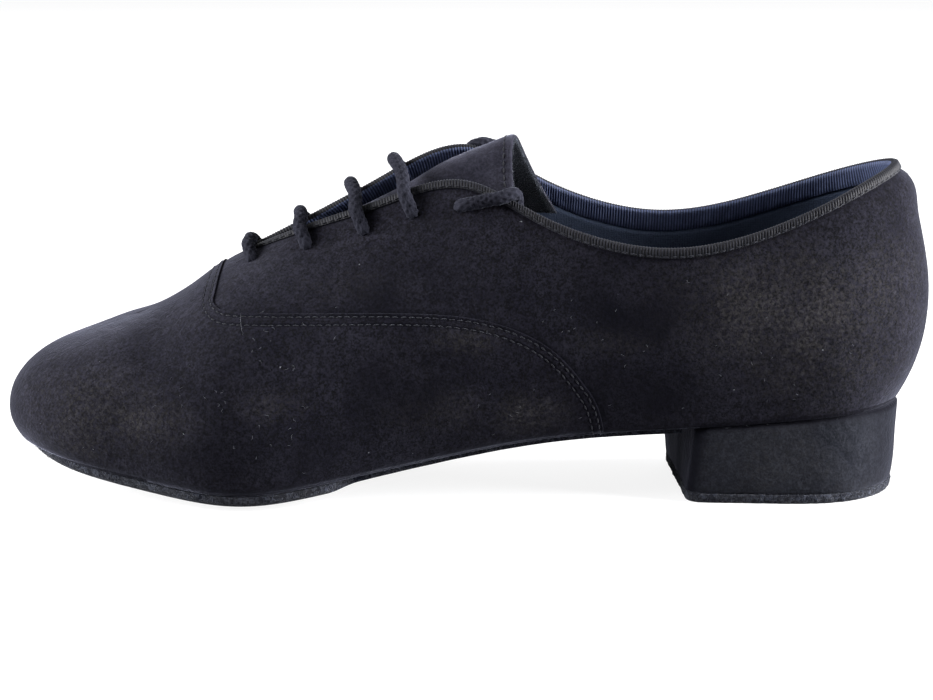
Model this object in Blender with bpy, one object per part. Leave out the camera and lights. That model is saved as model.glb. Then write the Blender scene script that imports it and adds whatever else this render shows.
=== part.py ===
"""Left ballroom dance shoe: a closed-lacing men's court oxford with a one-inch covered heel.

Metres, +Z up. The origin is the middle of the heel tip's flat underside.
+X runs to the toe and +Y to the outer side of the foot.

Every surface comes from one last. Thirteen stations run along it from the toe tip to the
back of the heel, on the outer side (positive station numbers) and on the inner side
(negative ones). A ray at each station climbs from the feather line, where the upper turns
under the foot, to the top line: the ridge of the vamp as far as the throat, and the rim
of the facings and the collar behind it.
"""

import math

import bmesh
import bpy
import numpy as np
from mathutils import Vector

# Driving sizes of the shoe
LENGTH = 0.296
BALL_WIDTH = 0.096
INSTEP_HEIGHT = 0.096
HEEL_HEIGHT = 0.0285
TOE_SPRING = 0.0100

# Driving sizes of the pieces
UPPER_WALL = 0.0020
SKIVED_WALL = 0.0012
VAMP_STEP = 0.0006
LASTING_MARGIN = 0.014
SOLE_THICKNESS = 0.0030
WAIST_THICKNESS = 0.0020
SOLE_EDGE = 0.0008
WAIST_TUCK = 0.0075
INSOLE_THICKNESS = 0.0025
INSOLE_INSET = 0.0034
HEEL_LENGTH = 0.0700
HEEL_TAPER = 0.0010
HEEL_CORNER = 0.0035
BREAST_SKEW_DEGREES = 4.2
TIP_THICKNESS = 0.0030
TAPE_THICKNESS = 0.0005
TAPE_OUTSIDE = 0.0024
TAPE_INSIDE = 0.0060
TONGUE_THICKNESS = 0.0020
TONGUE_SIDE_COVER = 0.0150
TONGUE_FRONT_COVER = 0.0100
TONGUE_REACH = 0.0115
TONGUE_SKEW = 0.0080
TONGUE_CURVE = 0.0360
TONGUE_SAG = 0.0024
LACE_DIAMETER = 0.0036
LACE_LEAN = 0.30
LACE_SETTLED = 0.0006
EYELET_INSET = 0.0084
GAP = 0.0003

# Mesh fineness
RAYS_BETWEEN = (5, 4, 3, 3, 3, 3, 3, 3, 3, 3, 3, 4)
WALL_ROWS = 7
CROSS_COLUMNS = 7
LACE_SIDES = 2
RAY_STEPS = 48
LINE_POINTS = 3000
SHARP_DEGREES = 35

# The feather line in plan, one row for each station from toe to heel.
# x as shares of LENGTH, y as shares of BALL_WIDTH.
FEET_COLUMNS = ("outer_x", "outer_y", "inner_x", "inner_y")
FEET = (
    ("toe tip", (0.9840, -0.040, 0.9840, -0.040)),
    ("toe corner", (0.9570, 0.150, 0.9680, -0.225)),
    ("toe side", (0.9080, 0.275, 0.9250, -0.352)),
    ("toe joint", (0.8350, 0.360, 0.8530, -0.438)),
    ("throat end", (0.7500, 0.440, 0.7570, -0.474)),
    ("ball", (0.6650, 0.400, 0.6690, -0.410)),
    ("front waist", (0.5810, 0.324, 0.5840, -0.292)),
    ("facing top", (0.4970, 0.293, 0.4970, -0.225)),
    ("collar front", (0.3990, 0.281, 0.3990, -0.235)),
    ("collar dip", (0.2900, 0.287, 0.2900, -0.300)),
    ("heel front", (0.1760, 0.302, 0.1760, -0.316)),
    ("heel side", (0.0810, 0.254, 0.0810, -0.256)),
    ("heel back", (0.0320, 0.000, 0.0320, 0.000)),
)

# How each ray climbs. top_x is a share of LENGTH. The wall leaves the feather line leaning
# out from upright, and reaches the top line dipping from level; both in degrees. The
# reaches, shares of the ray's own chord, say how far it keeps those directions.
WALL_COLUMNS = ("top_x", "foot_lean", "foot_reach", "top_dip", "top_reach")
WALLS = (
    ("toe tip", (0.8600, 37.0, 0.54, 0.0, 0.47)),
    ("toe corner", (0.8530, 34.0, 0.51, 0.0, 0.47)),
    ("toe side", (0.8350, 28.0, 0.46, 0.0, 0.46)),
    ("toe joint", (0.8020, 21.0, 0.43, 0.0, 0.44)),
    ("throat end", (0.7550, 17.0, 0.42, 3.0, 0.42)),
    ("ball", (0.6760, 16.0, 0.42, 27.0, 0.32)),
    ("front waist", (0.5940, 24.0, 0.40, 41.0, 0.28)),
    ("facing top", (0.5030, 29.0, 0.38, 52.0, 0.28)),
    ("collar front", (0.4120, 27.0, 0.36, 69.0, 0.30)),
    ("collar dip", (0.2900, 22.0, 0.36, 83.0, 0.33)),
    ("heel front", (0.1690, 17.0, 0.34, 77.0, 0.35)),
    ("heel side", (0.0860, 22.0, 0.34, 71.0, 0.35)),
    ("heel back", (0.0410, 33.0, 0.34, 60.0, 0.36)),
)

# The rim of the throat and the collar, from the throat's end round to the heel back.
# y as shares of BALL_WIDTH, z above the last's bottom as shares of INSTEP_HEIGHT.
FIRST_RIM_STATION = 4
RIM_COLUMNS = ("outer_y", "outer_z", "inner_y", "inner_z")
RIM = (
    ("throat end", (-0.034, 0.733, -0.034, 0.733)),
    ("ball", (0.052, 0.832, -0.083, 0.840)),
    ("front waist", (0.104, 0.878, -0.108, 0.926)),
    ("facing top", (0.150, 0.892, -0.132, 0.974)),
    ("collar front", (0.250, 0.730, -0.245, 0.785)),
    ("collar dip", (0.322, 0.614, -0.312, 0.640)),
    ("heel front", (0.292, 0.662, -0.281, 0.680)),
    ("heel side", (0.205, 0.752, -0.200, 0.752)),
    ("heel back", (0.000, 0.798, 0.000, 0.798)),
)

# The ridge of the vamp, and behind the throat the crown of the tongue. x as shares of
# LENGTH, z above the last's bottom as shares of INSTEP_HEIGHT.
RIDGE_SIDEWAYS = -0.034
RIDGE_COLUMNS = ("x", "z")
RIDGE = (
    ("toe box", (0.900, 0.463)),
    ("toe crease", (0.860, 0.508)),
    ("vamp", (0.800, 0.618)),
    ("throat end", (0.755, 0.733)),
    ("first bars", (0.676, 0.862)),
    ("last bars", (0.594, 0.948)),
    ("facing top", (0.503, 1.006)),
    ("tongue top", (0.440, 0.992)),
    ("behind the tongue", (0.330, 0.930)),
)

# The last's bottom along its middle. heel is a share of HEEL_HEIGHT less the sole, spring a
# share of TOE_SPRING, and crown how far its edges curl up, as a share of BALL_WIDTH.
BOTTOM_COLUMNS = ("x", "heel", "spring", "crown")
BOTTOM = (
    ("behind the heel", (-0.050, 1.030, 0.00, 0.011)),
    ("heel back", (0.033, 1.000, 0.00, 0.011)),
    ("heel middle", (0.150, 0.904, 0.00, 0.011)),
    ("heel breast", (0.264, 0.785, 0.00, 0.012)),
    ("back waist", (0.380, 0.680, 0.00, 0.014)),
    ("arch", (0.470, 0.522, 0.00, 0.016)),
    ("front waist", (0.560, 0.305, 0.00, 0.018)),
    ("ball", (0.640, 0.110, 0.00, 0.028)),
    ("tread", (0.712, -0.010, 0.00, 0.033)),
    ("tread front", (0.785, 0.000, 0.02, 0.033)),
    ("toe joint", (0.860, 0.000, 0.30, 0.031)),
    ("toe side", (0.925, 0.000, 0.64, 0.028)),
    ("toe tip", (1.000, 0.000, 1.05, 0.026)),
)
CROWN_REACH = 0.022

# The seam along the front of the quarters in side view, from the ridge to the feather line.
# x as shares of LENGTH, z as shares of INSTEP_HEIGHT above the floor.
SEAM_COLUMNS = ("x", "z")
SEAM = (
    ("over the ridge", (0.7740, 1.060)),
    ("ridge", (0.7770, 0.735)),
    ("corner", (0.7785, 0.645)),
    ("below the corner", (0.7620, 0.617)),
    ("under the throat", (0.7200, 0.616)),
    ("under the facing", (0.6300, 0.618)),
    ("shoulder", (0.5300, 0.621)),
    ("bend", (0.4630, 0.588)),
    ("fall", (0.4110, 0.508)),
    ("low fall", (0.3790, 0.398)),
    ("feather line", (0.3600, 0.262)),
    ("under the foot", (0.3500, -0.050)),
)

# The eyelets along each facing, from the throat's end to the top, as shares of LENGTH.
EYELETS = (0.7300, 0.6700, 0.6080, 0.5560, 0.5050)

# The lace's loose ends: name, side, the station where each crosses the rim, and its drop.
LACE_ENDS = (
    ("lace_end_outer", 1, 7.90, 0.0120),
    ("lace_end_inner", -1, 8.15, 0.0120),
)

# Where the sole tucks in under the waist, front and back of the step, as shares of LENGTH.
OUTER_TUCK = (0.690, 0.630)
INNER_TUCK = (0.700, 0.640)

LAST_STATION = len(FEET) - 1
AROUND = 2 * LAST_STATION
HEEL_BACK = FEET[-1][1][0] * LENGTH
BREAST = HEEL_BACK + HEEL_LENGTH
ORIGIN = Vector((HEEL_BACK + HEEL_LENGTH / 2, 0.0, 0.0))

COLOURS = {
    "upper": ((0.016, 0.016, 0.020), 0.92),
    "collar_binding": ((0.020, 0.021, 0.028), 0.70),
    "tongue": ((0.018, 0.018, 0.022), 0.92),
    "insole": ((0.030, 0.030, 0.033), 0.80),
    "outsole": ((0.034, 0.036, 0.042), 0.95),
    "heel_block": ((0.016, 0.016, 0.020), 0.92),
    "heel_tip": ((0.034, 0.036, 0.042), 0.95),
    "lace": ((0.014, 0.015, 0.020), 0.75),
}


def cubic(knots, values):
    """A smooth curve through the values at the knots, as a function of the knot."""
    t = np.asarray(knots, float)
    y = np.asarray(values, float)
    step = np.diff(t)
    count = len(t)
    left = np.eye(count)
    right = np.zeros(count)
    for i in range(1, count - 1):
        left[i, i - 1 : i + 2] = step[i - 1], 2 * (step[i - 1] + step[i]), step[i]
        right[i] = 6 * ((y[i + 1] - y[i]) / step[i] - (y[i] - y[i - 1]) / step[i - 1])
    bend = np.linalg.solve(left, right)

    def curve(at):
        at = np.asarray(at, float)
        i = np.clip(np.searchsorted(t, at) - 1, 0, count - 2)
        a, b, h = t[i + 1] - at, at - t[i], step[i]
        ends = (bend[i] * a**3 + bend[i + 1] * b**3) / (6 * h)
        line = (y[i] / h - bend[i] * h / 6) * a + (y[i + 1] / h - bend[i + 1] * h / 6) * b
        return ends + line

    return curve


def smooth_step(value, low, high):
    """0 below low, 1 above high and an even S between them."""
    t = np.clip((value - low) / (high - low), 0, 1)
    return t * t * (3 - 2 * t)


def column(table, columns, name):
    """One named column of a table, as numbers."""
    return np.array([row[columns.index(name)] for _, row in table], float)


def both_ways(values):
    """A curve over the whole loop for a column that both sides share, mirrored at its ends."""
    padded = np.concatenate([values[4:0:-1], values, values[-2:-6:-1]])
    return cubic(np.arange(-4, LAST_STATION + 5), padded)


def round_the_loop(outer, inner):
    """A curve over signed stations, closed at the heel back."""
    loop = np.concatenate([inner[:0:-1], outer])
    knots = np.arange(-LAST_STATION, LAST_STATION + 1)
    before, after = loop[-5:-1], loop[1:5]
    knots = np.concatenate([knots[:4] - 4, knots, knots[-4:] + 4])
    return cubic(knots, np.concatenate([before, loop, after]))


def round_the_rim(name, size):
    """A curve over stations from the throat's end round the heel back to it again."""
    outer = column(RIM, RIM_COLUMNS, "outer_" + name)
    inner = column(RIM, RIM_COLUMNS, "inner_" + name)
    values = np.concatenate([outer, inner[-2::-1]]) * size
    return cubic(np.arange(FIRST_RIM_STATION, AROUND - FIRST_RIM_STATION + 1), values)


feather_x = round_the_loop(
    column(FEET, FEET_COLUMNS, "outer_x") * LENGTH,
    column(FEET, FEET_COLUMNS, "inner_x") * LENGTH,
)
feather_y = round_the_loop(
    column(FEET, FEET_COLUMNS, "outer_y") * BALL_WIDTH,
    column(FEET, FEET_COLUMNS, "inner_y") * BALL_WIDTH,
)
top_x_values = column(WALLS, WALL_COLUMNS, "top_x") * LENGTH
top_x = cubic(
    np.arange(0, LAST_STATION + 5), np.concatenate([top_x_values, top_x_values[-2:-6:-1]])
)
foot_lean = both_ways(np.radians(column(WALLS, WALL_COLUMNS, "foot_lean")))
foot_reach = both_ways(column(WALLS, WALL_COLUMNS, "foot_reach"))
top_dip = both_ways(np.radians(column(WALLS, WALL_COLUMNS, "top_dip")))
top_reach = both_ways(column(WALLS, WALL_COLUMNS, "top_reach"))
rim_y = round_the_rim("y", BALL_WIDTH)
rim_height = round_the_rim("z", INSTEP_HEIGHT)

bottom_middle = cubic(
    column(BOTTOM, BOTTOM_COLUMNS, "x") * LENGTH,
    SOLE_THICKNESS
    + column(BOTTOM, BOTTOM_COLUMNS, "heel") * (HEEL_HEIGHT - SOLE_THICKNESS)
    + column(BOTTOM, BOTTOM_COLUMNS, "spring") * TOE_SPRING,
)
bottom_crown = cubic(
    column(BOTTOM, BOTTOM_COLUMNS, "x") * LENGTH,
    column(BOTTOM, BOTTOM_COLUMNS, "crown") * BALL_WIDTH,
)
ridge_height = cubic(
    column(RIDGE, RIDGE_COLUMNS, "x")[::-1] * LENGTH,
    column(RIDGE, RIDGE_COLUMNS, "z")[::-1] * INSTEP_HEIGHT,
)


def ridge_z(x):
    """Height of the vamp's ridge and the tongue's crown above the floor."""
    return bottom_middle(x) + ridge_height(x)


def bottom_z(x, inset):
    """Height of the last's bottom at x, this far in from the feather line."""
    curl = np.clip(1 - np.asarray(inset) / CROWN_REACH, 0, 1) ** 2
    return bottom_middle(x) + bottom_crown(x) * curl


def outward(station):
    """The plan direction that points out of the shoe, square to the feather line."""
    small = 0.01
    along_x = feather_x(station + small) - feather_x(station - small)
    along_y = feather_y(station + small) - feather_y(station - small)
    size = np.hypot(along_x, along_y)
    return along_y / size, -along_x / size


def feather(station, inset=0.0):
    """A point of the feather line, or this far in from it, on the last's bottom."""
    out_x, out_y = outward(station)
    x = feather_x(station) - out_x * inset
    y = feather_y(station) - out_y * inset
    return np.array([x, y, bottom_z(x, inset)])


def top_line(station):
    """A point of the top line: the ridge ahead of the throat's end, the rim behind it."""
    at = abs(station)
    x = top_x(at)
    if at <= FIRST_RIM_STATION:
        return np.array([x, RIDGE_SIDEWAYS * BALL_WIDTH, ridge_z(x)])
    round_rim = at if station > 0 else AROUND - at
    return np.array([x, rim_y(round_rim), bottom_middle(x) + rim_height(round_rim)])


def ray(station):
    """Points of one ray from the feather line to the top line, and the length to each."""
    at = abs(station)
    foot, top = feather(station), top_line(station)
    out = np.array([*outward(station), 0.0])
    up = np.array([0.0, 0.0, 1.0])
    chord = np.linalg.norm(top - foot)
    lean, dip = foot_lean(at), top_dip(at)
    small = 0.001
    slope = (ridge_z(top[0] + small) - ridge_z(top[0] - small)) / (2 * small)
    slope *= 1 - smooth_step(at, FIRST_RIM_STATION, FIRST_RIM_STATION + 2)
    leave = out * math.sin(lean) + up * math.cos(lean)
    arrive = out * math.cos(dip) + up * (out[0] * slope * math.cos(dip) - math.sin(dip))
    near_foot = foot + leave * chord * foot_reach(at)
    near_top = top + arrive * chord * top_reach(at)
    t = np.linspace(0, 1, RAY_STEPS + 1)[:, None]
    points = (
        (1 - t) ** 3 * foot
        + 3 * (1 - t) ** 2 * t * near_foot
        + 3 * (1 - t) * t**2 * near_top
        + t**3 * top
    )
    lengths = np.concatenate([[0], np.cumsum(np.linalg.norm(np.diff(points, axis=0), axis=1))])
    return points, lengths


def on_ray(points, lengths, below_top):
    """Points of a ray at these distances down from its top."""
    at = lengths[-1] - np.asarray(below_top)
    return np.stack([np.interp(at, lengths, points[:, axis]) for axis in range(3)], axis=-1)


FEATHER_LINE = np.stack(
    [
        feather_x(np.linspace(-LAST_STATION, LAST_STATION, LINE_POINTS)),
        feather_y(np.linspace(-LAST_STATION, LAST_STATION, LINE_POINTS)),
    ],
    axis=-1,
)


def from_feather(plan):
    """How far each plan point lies from the feather line."""
    away = plan[..., None, :2] - FEATHER_LINE
    return np.sqrt((away**2).sum(axis=-1).min(axis=-1))


TOP_ROWS = (0.0, TAPE_OUTSIDE, TAPE_INSIDE, TAPE_INSIDE + SKIVED_WALL)
MARGIN_ROWS = (1.0, 0.5)
RAYS = sum(RAYS_BETWEEN)
RIDGE_RAYS = sum(RAYS_BETWEEN[:FIRST_RIM_STATION])
RAY_STATIONS = np.concatenate(
    [np.arange(count) / count + i for i, count in enumerate(RAYS_BETWEEN)] + [[LAST_STATION]]
)


def station_of(number):
    """The signed station of a ray, from its signed number."""
    return math.copysign(RAY_STATIONS[abs(number)], number)


def wall_rows(points, lengths):
    """One ray's points from the feather line up: even rows, then the rows of the binding."""
    even = np.linspace(lengths[-1], TOP_ROWS[-1], WALL_ROWS + 1)[:-1]
    return on_ray(points, lengths, np.concatenate([even, TOP_ROWS[::-1]]))


def upper_grid():
    """The upper's outer surface as points by (ray, row), from inner heel round to outer heel."""
    grid = []
    for number in range(-RAYS, RAYS):
        station = station_of(number)
        margin = [feather(station, share * LASTING_MARGIN) for share in MARGIN_ROWS]
        grid.append(np.vstack([margin, wall_rows(*ray(station))]))
    return np.array(grid)


GRID = upper_grid()
MARGIN_COUNT = len(MARGIN_ROWS)
ROWS = GRID.shape[1]
TOP = ROWS - 1


def grid_index(number, row):
    """Vertex number at a signed ray; the two sides share the ridge and the heel back."""
    number = (number + RAYS) % (2 * RAYS) - RAYS
    if row == TOP and -RIDGE_RAYS <= number < 0:
        number = -number
    return (number + RAYS) * ROWS + row


def grid_faces(rays, rows):
    """Quads between neighbouring rays and rows, facing out of the shoe."""
    faces = []
    for number in rays:
        for row in rows:
            corners = (
                grid_index(number, row),
                grid_index(number + 1, row),
                grid_index(number + 1, row + 1),
                grid_index(number, row + 1),
            )
            kept = tuple(dict.fromkeys(corners))
            if len(kept) > 2:
                faces.append(kept)
    return faces


def grid_normals():
    """Outward normals of the upper's outer surface at each of its points."""
    points = GRID.reshape(-1, 3)
    total = np.zeros_like(points)
    for face in grid_faces(range(-RAYS, RAYS), range(TOP)):
        corners = points[list(face)]
        diagonal = corners[-1] - corners[1]
        square = np.cross(corners[2] - corners[0], diagonal)
        for vertex in face:
            total[vertex] += square
    size = np.linalg.norm(total, axis=1, keepdims=True)
    return total / np.where(size > 0, size, 1)


NORMALS = grid_normals()


def surface_point(number, row, rise):
    """A point of the upper's outer surface raised by this much along its normal."""
    vertex = grid_index(number, row)
    return GRID.reshape(-1, 3)[vertex] + NORMALS[vertex] * rise


def finish_object(name, kind, mesh):
    """Makes an object of a mesh, moved so that the origin lies under the heel."""
    for vertex in mesh.vertices:
        vertex.co -= ORIGIN
    shape = bpy.data.objects.new(name, mesh)
    bpy.context.scene.collection.objects.link(shape)
    mesh.shade_smooth()
    mesh.set_sharp_from_angle(angle=math.radians(SHARP_DEGREES))
    if kind is None:
        shape.hide_render = True
        shape.display_type = "WIRE"
    else:
        dress(shape, kind)
    return shape


def dress(shape, kind):
    """Gives an object its own material in its piece's colour and roughness."""
    colour, roughness = COLOURS[kind]
    material = bpy.data.materials.new(shape.name)
    material.use_nodes = True
    shader = material.node_tree.nodes["Principled BSDF"]
    shader.inputs["Base Color"].default_value = (*colour, 1.0)
    shader.inputs["Roughness"].default_value = roughness
    shader.inputs["Metallic"].default_value = 0.0
    shape.data.materials.append(material)


def solid(name, kind, vertices, faces):
    """A closed mesh object with its faces pointing out."""
    mesh = bpy.data.meshes.new(name)
    mesh.from_pydata([tuple(point) for point in vertices], [], faces)
    work = bmesh.new()
    work.from_mesh(mesh)
    loose = [vertex for vertex in work.verts if not vertex.link_faces]
    bmesh.ops.delete(work, geom=loose, context="VERTS")
    bmesh.ops.recalc_face_normals(work, faces=work.faces)
    work.to_mesh(mesh)
    work.free()
    return finish_object(name, kind, mesh)


def shell(name, kind, outer_rise, inner_rise, rays, rows):
    """A skin of the upper's surface between two rises, closed round its edges.

    The rises are functions of (ray, row), in metres along the surface's normal.
    """
    faces = grid_faces(rays, rows)
    used = sorted({vertex for face in faces for vertex in face})
    place = {vertex: i for i, vertex in enumerate(used)}
    outer, inner = [], []
    for vertex in used:
        number, row = vertex // ROWS - RAYS, vertex % ROWS
        outer.append(surface_point(number, row, outer_rise(number, row)))
        inner.append(surface_point(number, row, inner_rise(number, row)))
    count = len(used)
    front = [tuple(place[v] for v in face) for face in faces]
    back = [tuple(count + v for v in face[::-1]) for face in front]
    edges = {edge for face in front for edge in zip(face, face[1:] + face[:1])}
    rims = [(b, a, count + a, count + b) for a, b in sorted(edges) if (b, a) not in edges]
    return solid(name, kind, outer + inner, front + back + rims)


def combine(shape, other, operation):
    """Cuts, joins or intersects a shape with another one, which is then removed."""
    change = shape.modifiers.new(operation.lower(), "BOOLEAN")
    change.object = other
    change.operation = operation
    change.solver = "EXACT"
    ready = bpy.context.evaluated_depsgraph_get()
    mesh = bpy.data.meshes.new_from_object(shape.evaluated_get(ready))
    shape.modifiers.clear()
    shape.data = mesh
    bpy.data.objects.remove(other, do_unlink=True)
    mesh.shade_smooth()
    mesh.set_sharp_from_angle(angle=math.radians(SHARP_DEGREES))


def prism(name, outline, low, high, across):
    """A cutter: an outline in two axes pushed along the third, which across names."""
    def place(a, b, c):
        return (a, c, b) if across == "y" else (a, b, c)

    count = len(outline)
    vertices = [place(a, b, low) for a, b in outline] + [place(a, b, high) for a, b in outline]
    sides = [(i, (i + 1) % count, count + (i + 1) % count, count + i) for i in range(count)]
    caps = [tuple(range(count)), tuple(range(2 * count - 1, count - 1, -1))]
    return solid(name, None, vertices, sides + caps)


def is_bound(number, row):
    """Whether the binding covers this point of the upper."""
    return abs(number) >= RIDGE_RAYS and row > TOP - len(TOP_ROWS) + 1


def upper_inner_rise(number, row):
    """The wall's depth below its outer surface: full, or skived under the binding."""
    if is_bound(number, row):
        return -SKIVED_WALL
    if row == MARGIN_COUNT:
        return -UPPER_WALL * 1.25
    return -UPPER_WALL


def seam_outline():
    """The side view of all that lies ahead of and below the quarters' seam."""
    stations = np.arange(len(SEAM))
    along = np.linspace(0, len(SEAM) - 1, 5 * len(SEAM))
    x = cubic(stations, column(SEAM, SEAM_COLUMNS, "x") * LENGTH)(along)
    z = cubic(stations, column(SEAM, SEAM_COLUMNS, "z") * INSTEP_HEIGHT)(along)
    beyond = 1.1 * LENGTH
    curve = list(zip(x, z))
    return curve + [(beyond, curve[-1][1]), (beyond, curve[0][1])]


def make_upper():
    """The vamp and quarters as one hollow wall, open at the throat, collar and underneath."""
    everywhere = range(-RAYS, RAYS)
    upper = shell("upper", "upper", lambda n, r: 0.0, upper_inner_rise, everywhere, range(TOP))
    last_ray = sum(RAYS_BETWEEN[:9])
    layer = shell(
        "vamp_layer",
        None,
        lambda n, r: VAMP_STEP if r > MARGIN_COUNT else -VAMP_STEP / 4,
        lambda n, r: -SKIVED_WALL / 2,
        range(-last_ray, last_ray),
        range(MARGIN_COUNT, TOP),
    )
    vamp_side = prism("vamp_side_view", seam_outline(), -BALL_WIDTH, BALL_WIDTH, "y")
    combine(layer, vamp_side, "INTERSECT")
    combine(upper, layer, "UNION")
    combine(upper, eyelet_cutters(), "DIFFERENCE")
    return upper


def eyelet_frame(share, side):
    """The middle of an eyelet on the upper's surface, its outward normal and its way up."""
    stations = np.linspace(FIRST_RIM_STATION, FIRST_RIM_STATION + 5, 21) * side
    rays_here = [ray(station) for station in stations]
    places = np.array([on_ray(*each, EYELET_INSET) for each in rays_here])
    rims = np.array([each[0][-1] for each in rays_here])
    lower = np.array([on_ray(*each, 1.6 * EYELET_INSET) for each in rays_here])
    x = share * LENGTH
    order = np.argsort(places[:, 0])

    def at(values):
        return np.array([np.interp(x, places[order, 0], values[order, i]) for i in range(3)])

    middle = at(places)
    way_up = at(rims) - at(lower)
    way_up /= np.linalg.norm(way_up)
    steps = np.gradient(places, axis=0)
    along = at(steps)
    normal = np.cross(along, way_up) * side
    normal /= np.linalg.norm(normal)
    if normal[1] * side < 0:
        normal = -normal
    return middle, normal, way_up


def eyelet_cutters():
    """One cutter with a round pin through each eyelet."""
    work = bmesh.new()
    radius = LACE_DIAMETER / 2 + GAP + 0.0001
    for side in (1, -1):
        for share in EYELETS:
            middle, normal, _ = eyelet_frame(share, side)
            turn = Vector(normal).to_track_quat("Z", "Y").to_matrix().to_4x4()
            turn.translation = Vector(middle)
            bmesh.ops.create_cone(
                work,
                cap_ends=True,
                segments=12,
                radius1=radius,
                radius2=radius,
                depth=6 * UPPER_WALL,
                matrix=turn,
            )
    mesh = bpy.data.meshes.new("eyelet_pins")
    work.to_mesh(mesh)
    work.free()
    return finish_object("eyelet_pins", None, mesh)


def swept(name, kind, sections):
    """A solid swept through closed sections of equal size, with flat ends."""
    sections = np.asarray(sections)
    count, size = sections.shape[:2]
    faces = []
    for i in range(count - 1):
        for j in range(size):
            k = (j + 1) % size
            faces.append((i * size + j, i * size + k, (i + 1) * size + k, (i + 1) * size + j))
    faces.append(tuple(range(size)))
    faces.append(tuple(range(count * size - 1, (count - 1) * size - 1, -1)))
    return solid(name, kind, sections.reshape(-1, 3), faces)


def make_binding():
    """The ribbed tape folded over the rim, from one side of the throat's end to the other."""
    first = RIDGE_RAYS + 1
    outside, inside = TOP - 1, TOP - 2
    near, far = GAP, GAP + TAPE_THICKNESS
    sections = []
    for number in range(first, 2 * RAYS - first + 1):
        up = surface_point(number, TOP, 0.0) - surface_point(number, outside, 0.0)
        up /= np.linalg.norm(up)
        back_near, back_far = -SKIVED_WALL - near, -SKIVED_WALL - far
        sections.append(
            [
                surface_point(number, outside, near),
                surface_point(number, outside, far),
                surface_point(number, TOP, far) + up * far,
                surface_point(number, TOP, back_far) + up * far,
                surface_point(number, outside, back_far),
                surface_point(number, inside, back_far),
                surface_point(number, inside, back_near),
                surface_point(number, outside, back_near),
                surface_point(number, TOP, back_near) + up * near,
                surface_point(number, TOP, near) + up * near,
            ]
        )
    return swept("collar_binding", "collar_binding", sections)


def slab(name, kind, plan, low, high):
    """A solid between two heights over a plan grid whose first and last rows are points."""
    rows, columns = plan.shape[:2]

    def surface(height):
        return [(*point[:2], z) for line, zs in zip(plan, height) for point, z in zip(line, zs)]

    def at(row, col):
        if row in (0, rows - 1):
            col = 0
        return row * columns + col

    top, faces = rows * columns, []
    for i in range(rows - 1):
        for j in range(columns - 1):
            corners = (at(i, j), at(i + 1, j), at(i + 1, j + 1), at(i, j + 1))
            kept = tuple(dict.fromkeys(corners))
            if len(kept) > 2:
                faces.append(tuple(top + v for v in kept))
                faces.append(kept[::-1])
        for j in (0, columns - 1):
            a, b = at(i, j), at(i + 1, j)
            faces.append((a, b, top + b, top + a))
    return solid(name, kind, surface(low) + surface(high), faces)


def plan_grid(offset, inset_rows, stations=RAY_STATIONS):
    """Plan points across the bottom from the outer to the inner edge, by station.

    offset(station) moves the edge out of the feather line. The columns nearest to each edge
    lie at the named insets, so that the curled edge is followed.
    """
    edges = {}
    for side in (1, -1):
        edges[side] = np.array([feather(side * n, -offset(side * n))[:2] for n in stations])
    plan = []
    for outer, inner in zip(edges[1], edges[-1]):
        wide = max(np.linalg.norm(outer - inner), 1e-9)
        most = 0.45 * wide / len(inset_rows)
        near = [min(inset, most * (j + 1)) for j, inset in enumerate(inset_rows)]
        middle = np.linspace(near[-1], wide - near[-1], CROSS_COLUMNS - 2 * len(near) + 2)
        share = np.concatenate([[0.0], near[:-1], middle, wide - np.array(near[-2::-1]), [wide]])
        share = share[:, None] / wide
        plan.append(outer * (1 - share) + inner * share)
    return np.array(plan)


def sole_offset(station):
    """How far the sole's edge stands out of the feather line, and tucks in at the waist."""
    front, back = OUTER_TUCK if station >= 0 else INNER_TUCK
    tucked = smooth_step(feather_x(station), back * LENGTH, front * LENGTH)
    return -WAIST_TUCK + (WAIST_TUCK + SOLE_EDGE) * tucked


def breast_cutter(name, gap, keep_heel):
    """A cutter with the heel breast's plan: it takes away the front, or all behind it."""
    turn = math.tan(math.radians(BREAST_SKEW_DEGREES))
    half = BALL_WIDTH
    reach = LENGTH
    front = BREAST + gap
    if not keep_heel:
        outline = [(front - turn * half, half), (front + turn * half, -half)]
        outline += [(-reach, -half), (-reach, half)]
        return prism(name, outline, -HEEL_HEIGHT, 2 * HEEL_HEIGHT, "z")
    outline = []
    for side in (1, -1):
        station = side * station_at(BREAST - HEEL_CORNER, side)
        edge = feather_y(station) - side * HEEL_TAPER / 2
        middle_y = edge - side * HEEL_CORNER
        arc = []
        for step in range(5):
            angle = math.radians(90 - 22.5 * step)
            y = middle_y + side * math.sin(angle) * HEEL_CORNER
            x = front - HEEL_CORNER + math.cos(angle) * HEEL_CORNER - turn * y
            arc.append((x, y))
        arc.insert(0, (arc[0][0] - 2 * HEEL_CORNER, side * half))
        outline += arc if side > 0 else arc[::-1]
    outline += [(reach, -half), (reach, half)]
    return prism(name, outline, -HEEL_HEIGHT, 2 * HEEL_HEIGHT, "z")


def station_at(x, side):
    """The station whose feather point lies at x, behind the ball."""
    stations = np.linspace(LAST_STATION - 1e-3, FIRST_RIM_STATION, 400)
    return float(np.interp(x, feather_x(side * stations), stations))


def make_outsole():
    """The suede sole: full at the tread, thin and tucked in under the waist."""
    plan = plan_grid(sole_offset, (0.002, 0.008, 0.015))
    x = plan[:, :, 0]
    forefoot = smooth_step(x, OUTER_TUCK[1] * LENGTH, OUTER_TUCK[0] * LENGTH)
    high = bottom_z(x, from_feather(plan)) - GAP
    thickness = WAIST_THICKNESS + (SOLE_THICKNESS - WAIST_THICKNESS) * forefoot
    low = np.maximum(high - thickness, 0.0)
    sole = slab("outsole", "outsole", plan, low, high)
    combine(sole, breast_cutter("behind_the_breast", GAP, False), "DIFFERENCE")
    return sole


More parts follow.
